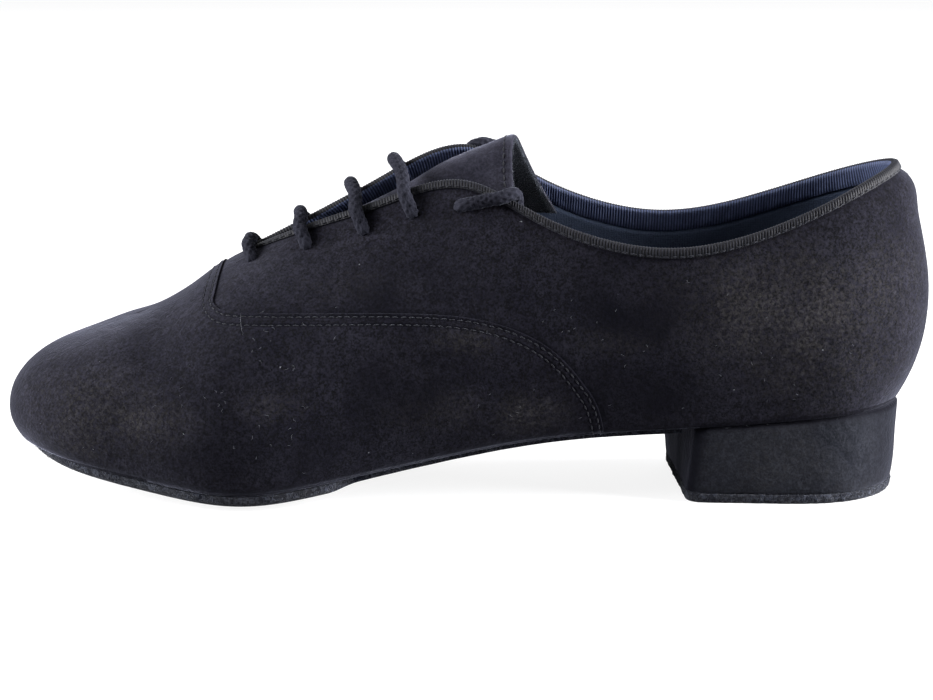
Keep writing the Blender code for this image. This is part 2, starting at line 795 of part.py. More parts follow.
def make_insole():
    """The footbed that lies on the lasted margin inside the upper."""
    plan = plan_grid(lambda station: -INSOLE_INSET, (0.007,), RAY_STATIONS[::2])
    low = bottom_z(plan[:, :, 0], from_feather(plan)) + UPPER_WALL + 2 * GAP
    return slab("insole", "insole", plan, low, low + INSOLE_THICKNESS)


def heel_layer(name, kind, low, high, low_inset, high_inset):
    """A layer of the heel with sides that draw in towards the floor, cut at the breast."""
    heel_stations = RAY_STATIONS[feather_x(RAY_STATIONS) < BREAST + 5 * HEEL_CORNER]
    wide = plan_grid(lambda station: -high_inset, (0.009,), heel_stations)
    narrow = plan_grid(lambda station: -low_inset, (0.009,), heel_stations)
    rows, columns = wide.shape[:2]
    vertices, faces = [], []
    for plan, height in ((narrow, low(narrow)), (wide, high(wide))):
        vertices += [(*point, z) for line, zs in zip(plan, height) for point, z in zip(line, zs)]

    def at(row, col):
        return row * columns + (0 if row == rows - 1 else col)

    top = rows * columns
    for i in range(rows - 1):
        for j in range(columns - 1):
            corners = (at(i, j), at(i + 1, j), at(i + 1, j + 1), at(i, j + 1))
            kept = tuple(dict.fromkeys(corners))
            faces.append(tuple(top + v for v in kept))
            faces.append(kept[::-1])
        for j in (0, columns - 1):
            a, b = at(i, j), at(i + 1, j)
            faces.append((a, b, top + b, top + a))
    for j in range(columns - 1):
        faces.append((at(0, j), at(0, j + 1), top + at(0, j + 1), top + at(0, j)))
    layer = solid(name, kind, vertices, faces)
    combine(layer, breast_cutter(name + "_front", 0.0, True), "DIFFERENCE")
    return layer


def make_heel():
    """The covered block under the heel seat and the suede tip that meets the floor."""
    block_bottom = TIP_THICKNESS + GAP
    split_inset = GAP + HEEL_TAPER * (1 - block_bottom / HEEL_HEIGHT)
    heel_layer(
        "heel_block",
        "heel_block",
        lambda plan: np.full(plan.shape[:2], block_bottom),
        lambda plan: bottom_z(plan[:, :, 0], from_feather(plan)) - GAP,
        split_inset,
        GAP,
    )
    heel_layer(
        "heel_tip",
        "heel_tip",
        lambda plan: np.zeros(plan.shape[:2]),
        lambda plan: np.full(plan.shape[:2], TIP_THICKNESS),
        GAP + HEEL_TAPER,
        split_inset,
    )


def tongue_section(station, columns):
    """Points across the tongue's outer face at one station, from the outer to the inner edge."""
    at = min(station, 7.0)
    depth = UPPER_WALL + 3.5 * GAP
    flanks = {}
    for side in (1, -1):
        points, lengths = ray(side * at)
        before, _ = ray(side * (at - 0.05))
        after, _ = ray(side * (at + 0.05))
        below = np.linspace(TONGUE_SIDE_COVER, 0, 5)
        place = on_ray(points, lengths, below)
        index = [int(np.argmin(np.abs(lengths - (lengths[-1] - b)))) for b in below]
        normals = []
        for i in index:
            i = min(max(i, 1), len(points) - 2)
            square = np.cross(after[i] - before[i], points[i + 1] - points[i - 1])
            square /= np.linalg.norm(square)
            normals.append(square if square[2] > 0 else -square)
        flanks[side] = place - np.array(normals) * depth
    outer, inner = flanks[1], flanks[-1]
    sag = TONGUE_SAG * (1 - smooth_step(at, 6.0, 7.0))
    crown = np.array([top_x(at), RIDGE_SIDEWAYS * BALL_WIDTH, ridge_z(top_x(at)) - sag])
    if at > FIRST_RIM_STATION + 0.4:
        arch = arch_points(outer[-2:], crown, inner[-2:])
        line = np.vstack([outer, arch, inner[::-1]])
    else:
        line = np.vstack([outer, inner[-2::-1]])
    run = np.concatenate([[0], np.cumsum(np.linalg.norm(np.diff(line, axis=0), axis=1))])
    even = np.linspace(0, run[-1], columns + 1)
    return np.stack([np.interp(even, run, line[:, axis]) for axis in range(3)], axis=-1)


def arch_points(outer_end, crown, inner_end):
    """The part of the tongue that shows: an arch from rim to rim over the crown."""
    points = []
    for start, end in ((outer_end, crown), (inner_end, crown)):
        way = start[1] - start[0]
        way /= np.linalg.norm(way)
        span = np.linalg.norm(end - start[1])
        level = np.array([0.0, np.sign(start[1][1] - end[1]) * span * 0.45, 0.0])
        first, second = start[1] + way * span * 0.35, end + level
        half = []
        for t in (0.2, 0.4, 0.6, 0.8, 1.0):
            half.append(
                (1 - t) ** 3 * start[1]
                + 3 * (1 - t) ** 2 * t * first
                + 3 * (1 - t) * t**2 * second
                + t**3 * end
            )
        points.append(half)
    return np.array(points[0] + points[1][-2::-1])


def make_tongue():
    """The tongue: seated under the vamp, under both facings, and free past their tops."""
    columns = 10
    front = float(np.interp(-(top_x(4) + TONGUE_FRONT_COVER), -top_x(np.arange(0, 5)), np.arange(0, 5)))
    stations = np.linspace(front, 7.0, 11)
    lines = [tongue_section(station, columns) for station in stations]
    share = np.linspace(0, 1, columns + 1)
    reach = TONGUE_REACH + TONGUE_SKEW * share + TONGUE_CURVE * (share - 0.5) ** 2
    last = lines[-1]
    middle = last[columns // 2]
    for step in (1, 2, 3):
        back = reach * step / 3
        lift = ridge_z(last[:, 0] - back) - ridge_z(last[:, 0])
        narrow = 1 - 0.04 * step
        y = middle[1] + (last[:, 1] - middle[1]) * narrow
        lines.append(np.stack([last[:, 0] - back, y, last[:, 2] + lift], axis=-1))
    lines = np.array(lines)
    along = np.gradient(lines, axis=0)
    across = np.gradient(lines, axis=1)
    square = np.cross(across, along)
    square /= np.linalg.norm(square, axis=2, keepdims=True)
    square[square[:, :, 2] < 0] *= -1
    under = lines - square * TONGUE_THICKNESS
    sections = [np.vstack([top, low[::-1]]) for top, low in zip(lines, under)]
    return swept("tongue", "tongue", sections)


def lace_object(name, route):
    """A round cord along a route, as a curve with a bevel and filled ends."""
    curve = bpy.data.curves.new(name, "CURVE")
    curve.dimensions = "3D"
    curve.bevel_depth = LACE_DIAMETER / 2
    curve.bevel_resolution = LACE_SIDES
    curve.use_fill_caps = True
    spline = curve.splines.new("POLY")
    spline.points.add(len(route) - 1)
    for point, place in zip(spline.points, route):
        point.co = (*(Vector(place) - ORIGIN), 1.0)
    shape = bpy.data.objects.new(name, curve)
    bpy.context.scene.collection.objects.link(shape)
    dress(shape, "lace")
    return shape


def smooth_route(points, spacing):
    """Points at even spacing along a smooth curve through the route's own points."""
    points = np.asarray(points)
    knots = np.concatenate([[0], np.cumsum(np.linalg.norm(np.diff(points, axis=0), axis=1))])
    curves = [cubic(knots, points[:, axis]) for axis in range(3)]
    fine = np.stack([each(np.linspace(0, knots[-1], 400)) for each in curves], axis=-1)
    run = np.concatenate([[0], np.cumsum(np.linalg.norm(np.diff(fine, axis=0), axis=1))])
    count = max(3, round(run[-1] / spacing))
    even = np.linspace(0, run[-1], count + 1)
    return np.stack([np.interp(even, run, fine[:, axis]) for axis in range(3)], axis=-1)


def half_bar(share, side):
    """Where one half of a lace bar runs: up out of its eyelet and over the bound rim."""
    middle, normal, up = eyelet_frame(share, side)
    radius = LACE_DIAMETER / 2
    low = radius + GAP
    over_tape = radius + 2.5 * GAP + TAPE_THICKNESS
    return [
        middle - normal * (UPPER_WALL + 0.4 * GAP),
        middle,
        middle + normal * 0.35 * low + up * 0.02 * low,
        middle + normal * 1.02 * low + up * 0.55 * low,
        middle + normal * 1.50 * over_tape + up * 1.6 * low,
        middle + normal * 1.55 * over_tape + up * (EYELET_INSET - TAPE_OUTSIDE + 0.001),
        middle + normal * 1.42 * over_tape + up * (EYELET_INSET + 0.0018),
    ]


def make_lace_bars():
    """The straight bars that close the throat, one over each pair of eyelets but the top."""
    for number, share in enumerate(EYELETS[:-1], 1):
        outer, inner = half_bar(share, 1), half_bar(share, -1)
        x = (outer[-1][0] + inner[-1][0]) / 2
        x += LACE_LEAN * (ridge_z(x) - outer[1][2])
        over = LACE_SETTLED
        crown = np.array([x, RIDGE_SIDEWAYS * BALL_WIDTH, ridge_z(x) + over])
        route = smooth_route(outer + [crown] + inner[::-1], LACE_DIAMETER / 1.25)
        lace_object(f"lace_bar_{number}", route)


def make_lace_ends():
    """The loose ends: out of the top eyelets, back along the rim and down into the shoe."""
    tape_depth = SKIVED_WALL + 2 * GAP + TAPE_THICKNESS
    for name, side, over, depth in LACE_ENDS:
        start = half_bar(EYELETS[-1], side)[:5]
        clear = LACE_DIAMETER / 2 + 2 * GAP + TAPE_THICKNESS
        route = list(start[:4])
        for back, below, rise in ((0.50, 0.0045, 1.75), (0.25, 0.0022, 1.55)):
            place = on_ray(*ray(side * (over - back)), below)
            route.append(place + np.array([0.0, side * 0.8, 0.6]) * clear * rise)
        rim = top_line(side * over)
        inward = np.array([0.0, -side, 0.0])
        inside = LACE_DIAMETER / 2 + tape_depth + GAP
        route.append(rim + inward * tape_depth / 2 + np.array([0.0, 0.0, clear * 1.4]))
        route.append(rim + inward * (inside + 3 * GAP) - np.array([0.0006, 0.0, clear * 0.6]))
        for drop in (0.4, 0.7, 1.0):
            fall = np.array([-0.002 * drop, 0.0, -clear * 0.6 - depth * drop])
            route.append(rim + inward * (inside + 3 * GAP) + fall)
        lace_object(name, smooth_route(route, LACE_DIAMETER / 1.25))


def main():
    """Clears the scene and builds the shoe."""
    for each in list(bpy.data.objects):
        bpy.data.objects.remove(each, do_unlink=True)
    make_upper()
    make_binding()
    make_tongue()
    make_insole()
    make_outsole()
    make_heel()
    make_lace_bars()
    make_lace_ends()


main()
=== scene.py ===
"""Looks of the left court shoe for ballroom dancing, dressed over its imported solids.

Metres, +Z up, +X to the toe, +Y to the outer side. Lengths along the shoe are first given
from the back of the heel, as in the solids, and are moved by the last's origin when a mesh
is made.
"""

import logging
import math
from dataclasses import dataclass, field
from enum import Enum
from typing import Callable, Sequence

import bpy
import numpy as np
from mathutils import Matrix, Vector


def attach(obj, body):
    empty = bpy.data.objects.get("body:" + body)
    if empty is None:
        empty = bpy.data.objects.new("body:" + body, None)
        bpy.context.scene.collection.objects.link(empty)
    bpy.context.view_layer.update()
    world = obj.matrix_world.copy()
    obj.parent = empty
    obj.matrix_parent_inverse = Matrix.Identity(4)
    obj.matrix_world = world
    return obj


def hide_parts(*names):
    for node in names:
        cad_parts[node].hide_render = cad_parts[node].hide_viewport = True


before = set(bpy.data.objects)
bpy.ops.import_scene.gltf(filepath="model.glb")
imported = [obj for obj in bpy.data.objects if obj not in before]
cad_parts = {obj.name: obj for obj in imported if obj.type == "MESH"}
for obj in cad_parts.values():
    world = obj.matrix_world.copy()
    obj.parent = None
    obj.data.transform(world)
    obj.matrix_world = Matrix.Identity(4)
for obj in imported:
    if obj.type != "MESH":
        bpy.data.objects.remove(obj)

LOG = logging.getLogger("court_shoe")
BODY = "root"
MM = 0.001

Array = np.ndarray
Curve = Callable[[Array], Array]
Face = tuple[int, ...]
Mixes = list[tuple[int, int, float]]
Colour = tuple[float, float, float]


class Side(Enum):
    """The two sides of the shoe, as the sign of y."""

    OUTER = 1
    INNER = -1


class Lay(Enum):
    """Which part of the upper a material goes on, as its number there."""

    OUTSIDE = 0
    INSIDE = 1
    DRAWN_UNDER = 2


@dataclass(frozen=True)
class Sizes:
    """Driving sizes of the shoe, in metres."""

    length: float = 0.296
    ball_width: float = 0.096
    instep_height: float = 0.096
    heel_height: float = 0.0285
    toe_spring: float = 0.0100
    wall: float = 0.0020
    skived_wall: float = 0.0012
    vamp_step: float = 0.0006
    sole_thickness: float = 0.0030
    waist_thickness: float = 0.0020
    waist_tuck: float = 0.0075
    insole_thickness: float = 0.0025
    insole_inset: float = 0.0034
    heel_length: float = 0.0700
    heel_taper: float = 0.0010
    heel_corner: float = 0.0048
    breast_skew: float = math.radians(4.2)
    tip_thickness: float = 0.0030
    tape_thickness: float = 0.0005
    tape_outside: float = 0.0024
    tape_inside: float = 0.0060
    tongue_thickness: float = 0.0020
    tongue_side_cover: float = 0.0150
    tongue_front_cover: float = 0.0100
    tongue_reach: float = 0.0115
    tongue_skew: float = 0.0080
    tongue_curve: float = 0.0360
    tongue_sag: float = 0.0024
    lace_diameter: float = 0.0036
    lace_lean: float = 0.36
    eyelet_inset: float = 0.0084
    gap: float = 0.0003


@dataclass(frozen=True)
class FeatherRow:
    """One station of the feather line: x in shoe lengths, y in ball widths."""

    name: str
    outer_x: float
    outer_y: float
    inner_x: float
    inner_y: float


@dataclass(frozen=True)
class WallRow:
    """How the wall climbs at one station: angles in degrees, reaches in shares of its chord."""

    name: str
    top_x: float
    foot_lean: float
    foot_reach: float
    top_dip: float
    top_reach: float


@dataclass(frozen=True)
class RimRow:
    """One station of the rim: y in ball widths, z in instep heights above the last's bottom."""

    name: str
    outer_y: float
    outer_z: float
    inner_y: float
    inner_z: float


@dataclass(frozen=True)
class SideRow:
    """A point of a line in side view: x in shoe lengths, z in instep heights."""

    name: str
    x: float
    z: float


@dataclass(frozen=True)
class BottomRow:
    """One section of the last's bottom: x in lengths, the rest in shares of its heights."""

    name: str
    x: float
    heel: float
    spring: float
    crown: float


FEET: tuple[FeatherRow, ...] = (
    FeatherRow("toe tip", 0.9840, -0.040, 0.9840, -0.040),
    FeatherRow("toe corner", 0.9570, 0.150, 0.9680, -0.225),
    FeatherRow("toe side", 0.9080, 0.275, 0.9250, -0.352),
    FeatherRow("toe joint", 0.8350, 0.360, 0.8530, -0.438),
    FeatherRow("throat end", 0.7500, 0.440, 0.7570, -0.474),
    FeatherRow("ball", 0.6650, 0.400, 0.6690, -0.410),
    FeatherRow("front waist", 0.5810, 0.324, 0.5840, -0.292),
    FeatherRow("facing top", 0.4970, 0.293, 0.4970, -0.225),
    FeatherRow("collar front", 0.3990, 0.281, 0.3990, -0.235),
    FeatherRow("collar dip", 0.2900, 0.287, 0.2900, -0.300),
    FeatherRow("heel front", 0.1760, 0.302, 0.1760, -0.316),
    FeatherRow("heel side", 0.0810, 0.254, 0.0810, -0.256),
    FeatherRow("heel back", 0.0320, 0.000, 0.0320, 0.000),
)

WALLS: tuple[WallRow, ...] = (
    WallRow("toe tip", 0.8600, 37.0, 0.54, 0.0, 0.47),
    WallRow("toe corner", 0.8530, 34.0, 0.51, 0.0, 0.47),
    WallRow("toe side", 0.8350, 28.0, 0.46, 0.0, 0.46),
    WallRow("toe joint", 0.8020, 21.0, 0.43, 0.0, 0.44),
    WallRow("throat end", 0.7550, 17.0, 0.42, 3.0, 0.42),
    WallRow("ball", 0.6760, 16.0, 0.42, 27.0, 0.32),
    WallRow("front waist", 0.5940, 24.0, 0.40, 41.0, 0.28),
    WallRow("facing top", 0.5030, 29.0, 0.38, 52.0, 0.28),
    WallRow("collar front", 0.4120, 27.0, 0.36, 69.0, 0.30),
    WallRow("collar dip", 0.2900, 22.0, 0.36, 83.0, 0.33),
    WallRow("heel front", 0.1690, 17.0, 0.34, 77.0, 0.35),
    WallRow("heel side", 0.0860, 22.0, 0.34, 71.0, 0.35),
    WallRow("heel back", 0.0410, 33.0, 0.34, 60.0, 0.36),
)

RIM: tuple[RimRow, ...] = (
    RimRow("throat end", -0.034, 0.733, -0.034, 0.733),
    RimRow("ball", 0.052, 0.832, -0.083, 0.840),
    RimRow("front waist", 0.104, 0.878, -0.108, 0.926),
    RimRow("facing top", 0.150, 0.892, -0.132, 0.974),
    RimRow("collar front", 0.250, 0.730, -0.245, 0.785),
    RimRow("collar dip", 0.322, 0.614, -0.312, 0.640),
    RimRow("heel front", 0.292, 0.662, -0.281, 0.680),
    RimRow("heel side", 0.205, 0.752, -0.200, 0.752),
    RimRow("heel back", 0.000, 0.798, 0.000, 0.798),
)

RIDGE: tuple[SideRow, ...] = (
    SideRow("toe box", 0.900, 0.463),
    SideRow("toe crease", 0.860, 0.508),
    SideRow("vamp", 0.800, 0.618),
    SideRow("throat end", 0.755, 0.733),
    SideRow("first bars", 0.676, 0.862),
    SideRow("last bars", 0.594, 0.948),
    SideRow("facing top", 0.503, 1.006),
    SideRow("tongue top", 0.440, 0.992),
    SideRow("behind the tongue", 0.330, 0.930),
)

BOTTOM: tuple[BottomRow, ...] = (
    BottomRow("behind the heel", -0.050, 1.030, 0.00, 0.011),
    BottomRow("heel back", 0.033, 1.000, 0.00, 0.011),
    BottomRow("heel middle", 0.150, 0.904, 0.00, 0.011),
    BottomRow("heel breast", 0.264, 0.785, 0.00, 0.012),
    BottomRow("back waist", 0.380, 0.680, 0.00, 0.014),
    BottomRow("arch", 0.470, 0.522, 0.00, 0.016),
    BottomRow("front waist", 0.560, 0.305, 0.00, 0.018),
    BottomRow("ball", 0.640, 0.110, 0.00, 0.028),
    BottomRow("tread", 0.712, -0.010, 0.00, 0.033),
    BottomRow("tread front", 0.785, 0.000, 0.02, 0.033),
    BottomRow("toe joint", 0.860, 0.000, 0.30, 0.031),
    BottomRow("toe side", 0.925, 0.000, 0.64, 0.028),
    BottomRow("toe tip", 1.000, 0.000, 1.05, 0.026),
)

SEAM: tuple[SideRow, ...] = (
    SideRow("over the ridge", 0.7670, 1.060),
    SideRow("ridge", 0.7700, 0.735),
    SideRow("corner", 0.7720, 0.645),
    SideRow("below the corner", 0.7570, 0.617),
    SideRow("under the throat", 0.7200, 0.616),
    SideRow("under the facing", 0.6300, 0.618),
    SideRow("shoulder", 0.5300, 0.621),
    SideRow("bend", 0.4630, 0.588),
    SideRow("fall", 0.4110, 0.508),
    SideRow("low fall", 0.3790, 0.398),
    SideRow("feather line", 0.3600, 0.262),
    SideRow("under the foot", 0.3500, -0.050),
)

EYELETS: tuple[float, ...] = (0.7300, 0.6700, 0.6080, 0.5560, 0.5050)

FIRST_RIM_STATION = 4
LAST_STATION = len(FEET) - 1
ROUND = 2 * LAST_STATION
RIDGE_SIDEWAYS = -0.034
CROWN_REACH = 0.022
OUTER_TUCK = (0.648, 0.612)
INNER_TUCK = (0.690, 0.636)
STITCH_ROWS = (0.0010, 0.0033)
THIRDS = (0.0, 2 * math.pi / 3, 4 * math.pi / 3)


def natural_spline(knots: Sequence[float], values: Sequence[float]) -> Curve:
    """A smooth curve through values at their knots.

    Args:
        knots: Rising places of the values.
        values: What the curve passes through.

    Returns:
        A function of places that gives the curve there.
    """
    t = np.asarray(knots, float)
    y = np.asarray(values, float)
    step = np.diff(t)
    count = len(t)
    left = np.eye(count)
    right = np.zeros(count)
    for i in range(1, count - 1):
        left[i, i - 1 : i + 2] = step[i - 1], 2 * (step[i - 1] + step[i]), step[i]
        right[i] = 6 * ((y[i + 1] - y[i]) / step[i] - (y[i] - y[i - 1]) / step[i - 1])
    bend = np.linalg.solve(left, right)

    def curve(at: Array) -> Array:
        """The curve at these places.

        Args:
            at: Places along it.

        Returns:
            Its values there.
        """
        at = np.asarray(at, float)
        i = np.clip(np.searchsorted(t, at) - 1, 0, count - 2)
        a, b, h = t[i + 1] - at, at - t[i], step[i]
        ends = (bend[i] * a**3 + bend[i + 1] * b**3) / (6 * h)
        return ends + (y[i] / h - bend[i] * h / 6) * a + (y[i + 1] / h - bend[i + 1] * h / 6) * b

    return curve


def smooth_step(value: Array, low: float, high: float) -> Array:
    """0 below low, 1 above high, and an even S between them."""
    t = np.clip((np.asarray(value) - low) / (high - low), 0, 1)
    return t * t * (3 - 2 * t)


def bell(distance: Array, width: float) -> Array:
    """1 at no distance, falling off smoothly over this width."""
    return np.exp(-((np.asarray(distance) / width) ** 2))


def unit(vectors: Array) -> Array:
    """Vectors with their length made 1."""
    size = np.linalg.norm(vectors, axis=-1, keepdims=True)
    return vectors / np.where(size > 0, size, 1)


def run_lengths(line: Array) -> Array:
    """The length along a line up to each of its points."""
    return np.concatenate([[0.0], np.cumsum(np.linalg.norm(np.diff(line, axis=0), axis=1))])


def at_lengths(line: Array, run: Array, lengths: Array | float) -> Array:
    """Points of a line, or values along it, at these lengths of its run."""
    return np.stack([np.interp(lengths, run, column) for column in line.T], axis=-1)


def resampled(line: Array, count: int) -> Array:
    """A line as this many evenly spaced points."""
    run = run_lengths(line)
    return at_lengths(line, run, np.linspace(0, run[-1], count))


def bow(t: Array, start: Array, leave: Array, arrive: Array, end: Array) -> Array:
    """A curve from start to end.

    Args:
        t: Shares of its way, from 0 to 1.
        start: Where it starts.
        leave: The point that it leaves towards.
        arrive: The point that it arrives from.
        end: Where it ends.

    Returns:
        Its points.
    """
    return (
        (1 - t) ** 3 * start
        + 3 * (1 - t) ** 2 * t * leave
        + 3 * (1 - t) * t**2 * arrive
        + t**3 * end
    )


def smooth_route(points: Sequence[Array], spacing: float) -> Array:
    """Evenly spaced points along a smooth curve through a route's own points.

    Args:
        points: The route's points.
        spacing: How far apart the new ones lie.

    Returns:
        The new points.
    """
    points = np.asarray(points)
    knots = run_lengths(points)
    fine = np.linspace(0, knots[-1], 600)
    line = np.stack([natural_spline(knots, column)(fine) for column in points.T], axis=-1)
    count = max(3, round(run_lengths(line)[-1] / spacing))
    return resampled(line, count + 1)


def tube_faces(
    rings: int, around: int, start: int = 0, turned: bool = False, capped: bool = True
) -> list[Face]:
    """Faces round a tube of equal rings, and over its ends.

    Args:
        rings: How many rings it has.
        around: How many points each has.
        start: The number of its first vertex.
        turned: Whether the faces look the other way.
        capped: Whether its ends are closed.

    Returns:
        Faces as vertex numbers.
    """
    faces: list[Face] = []
    for low in range(start, start + (rings - 1) * around, around):
        high = low + around
        for j in range(around):
            k = (j + 1) % around
            a, b = (k, j) if turned else (j, k)
            faces.append((low + a, low + b, high + b, high + a))
    if capped:
        first = tuple(range(start, start + around))
        last = tuple(v + (rings - 1) * around for v in first)
        faces += [first, last[::-1]] if turned else [first[::-1], last]
    return faces


@dataclass
class Waves:
    """A soft, even noise in space, made of waves with seeded directions."""

    seed: int
    wavelength: float
    count: int = 14
    directions: Array = field(init=False)
    phases: Array = field(init=False)

    def __post_init__(self) -> None:
        """Draws the waves."""
        draw = np.random.default_rng(self.seed)
        spread = unit(draw.normal(size=(self.count, 3)))
        stretch = draw.uniform(0.7, 1.5, size=(self.count, 1))
        self.directions = spread * stretch * 2 * math.pi / self.wavelength
        self.phases = draw.uniform(0, 2 * math.pi, self.count)

    def at(self, points: Array) -> Array:
        """The noise at points, mostly between -1 and 1."""
        waves = np.sin(points @ self.directions.T + self.phases)
        return waves.sum(axis=-1) * 1.6 / math.sqrt(2 * self.count)


@dataclass
class Last:
    """The last that the shoe is made on, as curves from its tables."""

    sizes: Sizes
    ray_steps: int = 48
    feather_x: Curve = field(init=False)
    feather_y: Curve = field(init=False)
    top_x: Curve = field(init=False)
    foot_lean: Curve = field(init=False)
    foot_reach: Curve = field(init=False)
    top_dip: Curve = field(init=False)
    top_reach: Curve = field(init=False)
    rim_y: Curve = field(init=False)
    rim_height: Curve = field(init=False)
    bottom_middle: Curve = field(init=False)
    bottom_crown: Curve = field(init=False)
    ridge_height: Curve = field(init=False)
    origin: Array = field(init=False)
    feather_line: Array = field(init=False)

    def __post_init__(self) -> None:
        """Fits the curves to the tables."""
        size = self.sizes
        self.feather_x = self._loop([r.outer_x for r in FEET], [r.inner_x for r in FEET], size.length)
        self.feather_y = self._loop(
            [r.outer_y for r in FEET], [r.inner_y for r in FEET], size.ball_width
        )
        tops = np.array([r.top_x for r in WALLS]) * size.length
        beyond = np.concatenate([tops, tops[-2:-6:-1]])
        self.top_x = natural_spline(np.arange(LAST_STATION + 5), beyond)
        self.foot_lean = self._both_ways(np.radians([r.foot_lean for r in WALLS]))
        self.foot_reach = self._both_ways(np.array([r.foot_reach for r in WALLS]))
        self.top_dip = self._both_ways(np.radians([r.top_dip for r in WALLS]))
        self.top_reach = self._both_ways(np.array([r.top_reach for r in WALLS]))
        self.rim_y = self._round([r.outer_y for r in RIM], [r.inner_y for r in RIM], size.ball_width)
        self.rim_height = self._round(
            [r.outer_z for r in RIM], [r.inner_z for r in RIM], size.instep_height
        )
        places = [r.x * size.length for r in BOTTOM]
        rise = np.array([r.heel for r in BOTTOM]) * (size.heel_height - size.sole_thickness)
        spring = np.array([r.spring for r in BOTTOM]) * size.toe_spring
        self.bottom_middle = natural_spline(places, size.sole_thickness + rise + spring)
        self.bottom_crown = natural_spline(places, [r.crown * size.ball_width for r in BOTTOM])
        self.ridge_height = natural_spline(
            [r.x * size.length for r in RIDGE[::-1]],
            [r.z * size.instep_height for r in RIDGE[::-1]],
        )
        self.origin = np.array([self.heel_back + size.heel_length / 2, 0.0, 0.0])
        around = np.linspace(-LAST_STATION, LAST_STATION, 3000)
        self.feather_line = np.stack([self.feather_x(around), self.feather_y(around)], axis=-1)

    @property
    def heel_back(self) -> float:
        """Where the feather line ends at the back of the heel."""
        return FEET[-1].outer_x * self.sizes.length

    @property
    def breast(self) -> float:
        """Where the heel's breast stands on the shoe's middle."""
        return self.heel_back + self.sizes.heel_length

    @staticmethod
    def _loop(outer: Sequence[float], inner: Sequence[float], scale: float) -> Curve:
        """A curve over signed stations, closed at the back of the heel.

        Args:
            outer: The outer side's values, from the toe.
            inner: The inner side's values, from the toe.
            scale: What the values are shares of.

        Returns:
            The curve.
        """
        loop = np.concatenate([np.array(inner)[:0:-1], outer]) * scale
        knots = np.arange(-LAST_STATION, LAST_STATION + 1)
        knots = np.concatenate([knots[:4] - 4, knots, knots[-4:] + 4])
        return natural_spline(knots, np.concatenate([loop[-5:-1], loop, loop[1:5]]))

    @staticmethod
    def _both_ways(values: Array) -> Curve:
        """A curve over the loop for a column that both sides share."""
        padded = np.concatenate([values[4:0:-1], values, values[-2:-6:-1]])
        return natural_spline(np.arange(-4, LAST_STATION + 5), padded)

    @staticmethod
    def _round(outer: Sequence[float], inner: Sequence[float], scale: float) -> Curve:
        """A curve over stations from the throat's end round the heel and back to it."""
        values = np.concatenate([outer, np.array(inner)[-2::-1]]) * scale
        return natural_spline(np.arange(FIRST_RIM_STATION, ROUND - FIRST_RIM_STATION + 1), values)

    def ridge_z(self, x: Array) -> Array:
        """Height of the vamp's ridge and the tongue's crown above the floor."""
        return self.bottom_middle(x) + self.ridge_height(x)

    def bottom_z(self, x: Array, inset: Array) -> Array:
        """Height of the last's bottom at x, this far in from the feather line."""
        curl = np.clip(1 - np.asarray(inset) / CROWN_REACH, 0, 1) ** 2
        return self.bottom_middle(x) + self.bottom_crown(x) * curl

    def from_feather(self, plan: Array) -> Array:
        """How far each plan point lies from the feather line.

        Args:
            plan: Plan points.

        Returns:
            Their distances, never negative.
        """
        flat = plan[..., :2].reshape(-1, 2)
        away = [np.sqrt(((p - self.feather_line) ** 2).sum(axis=1).min()) for p in flat]
        return np.array(away).reshape(plan.shape[:-1])

    def outward(self, station: Array) -> Array:
        """Level directions out of the shoe, square to the feather line.

        Args:
            station: Signed stations.

        Returns:
            Unit directions.
        """
        small = 0.01
        along_x = self.feather_x(station + small) - self.feather_x(station - small)
        along_y = self.feather_y(station + small) - self.feather_y(station - small)
        return unit(np.stack([along_y, -along_x, np.zeros_like(along_x)], axis=-1))

    def feather(self, station: Array, inset: float = 0.0) -> Array:
        """Points of the feather line, or this far in from it, on the last's bottom.

        Args:
            station: Signed stations.
            inset: How far in from it.

        Returns:
            Points in space.
        """
        station = np.asarray(station, float)
        out = self.outward(station)
        x = self.feather_x(station) - out[..., 0] * inset
        y = self.feather_y(station) - out[..., 1] * inset
        return np.stack([x, y, self.bottom_z(x, inset)], axis=-1)

    def top_line(self, station: Array) -> Array:
        """Points of the top line: the ridge ahead of the throat's end, the rim behind it.

        Args:
            station: Signed stations.

        Returns:
            Points in space.
        """
        station = np.atleast_1d(np.asarray(station, float))
        at = np.abs(station)
        x = self.top_x(at)
        round_rim = np.where(station > 0, at, ROUND - at)
        round_rim = np.clip(round_rim, FIRST_RIM_STATION, ROUND - FIRST_RIM_STATION)
        on_ridge = at <= FIRST_RIM_STATION
        side = RIDGE_SIDEWAYS * self.sizes.ball_width
        y = np.where(on_ridge, side, self.rim_y(round_rim))
        z = np.where(on_ridge, self.ridge_z(x), self.bottom_middle(x) + self.rim_height(round_rim))
        return np.stack([x, y, z], axis=-1)

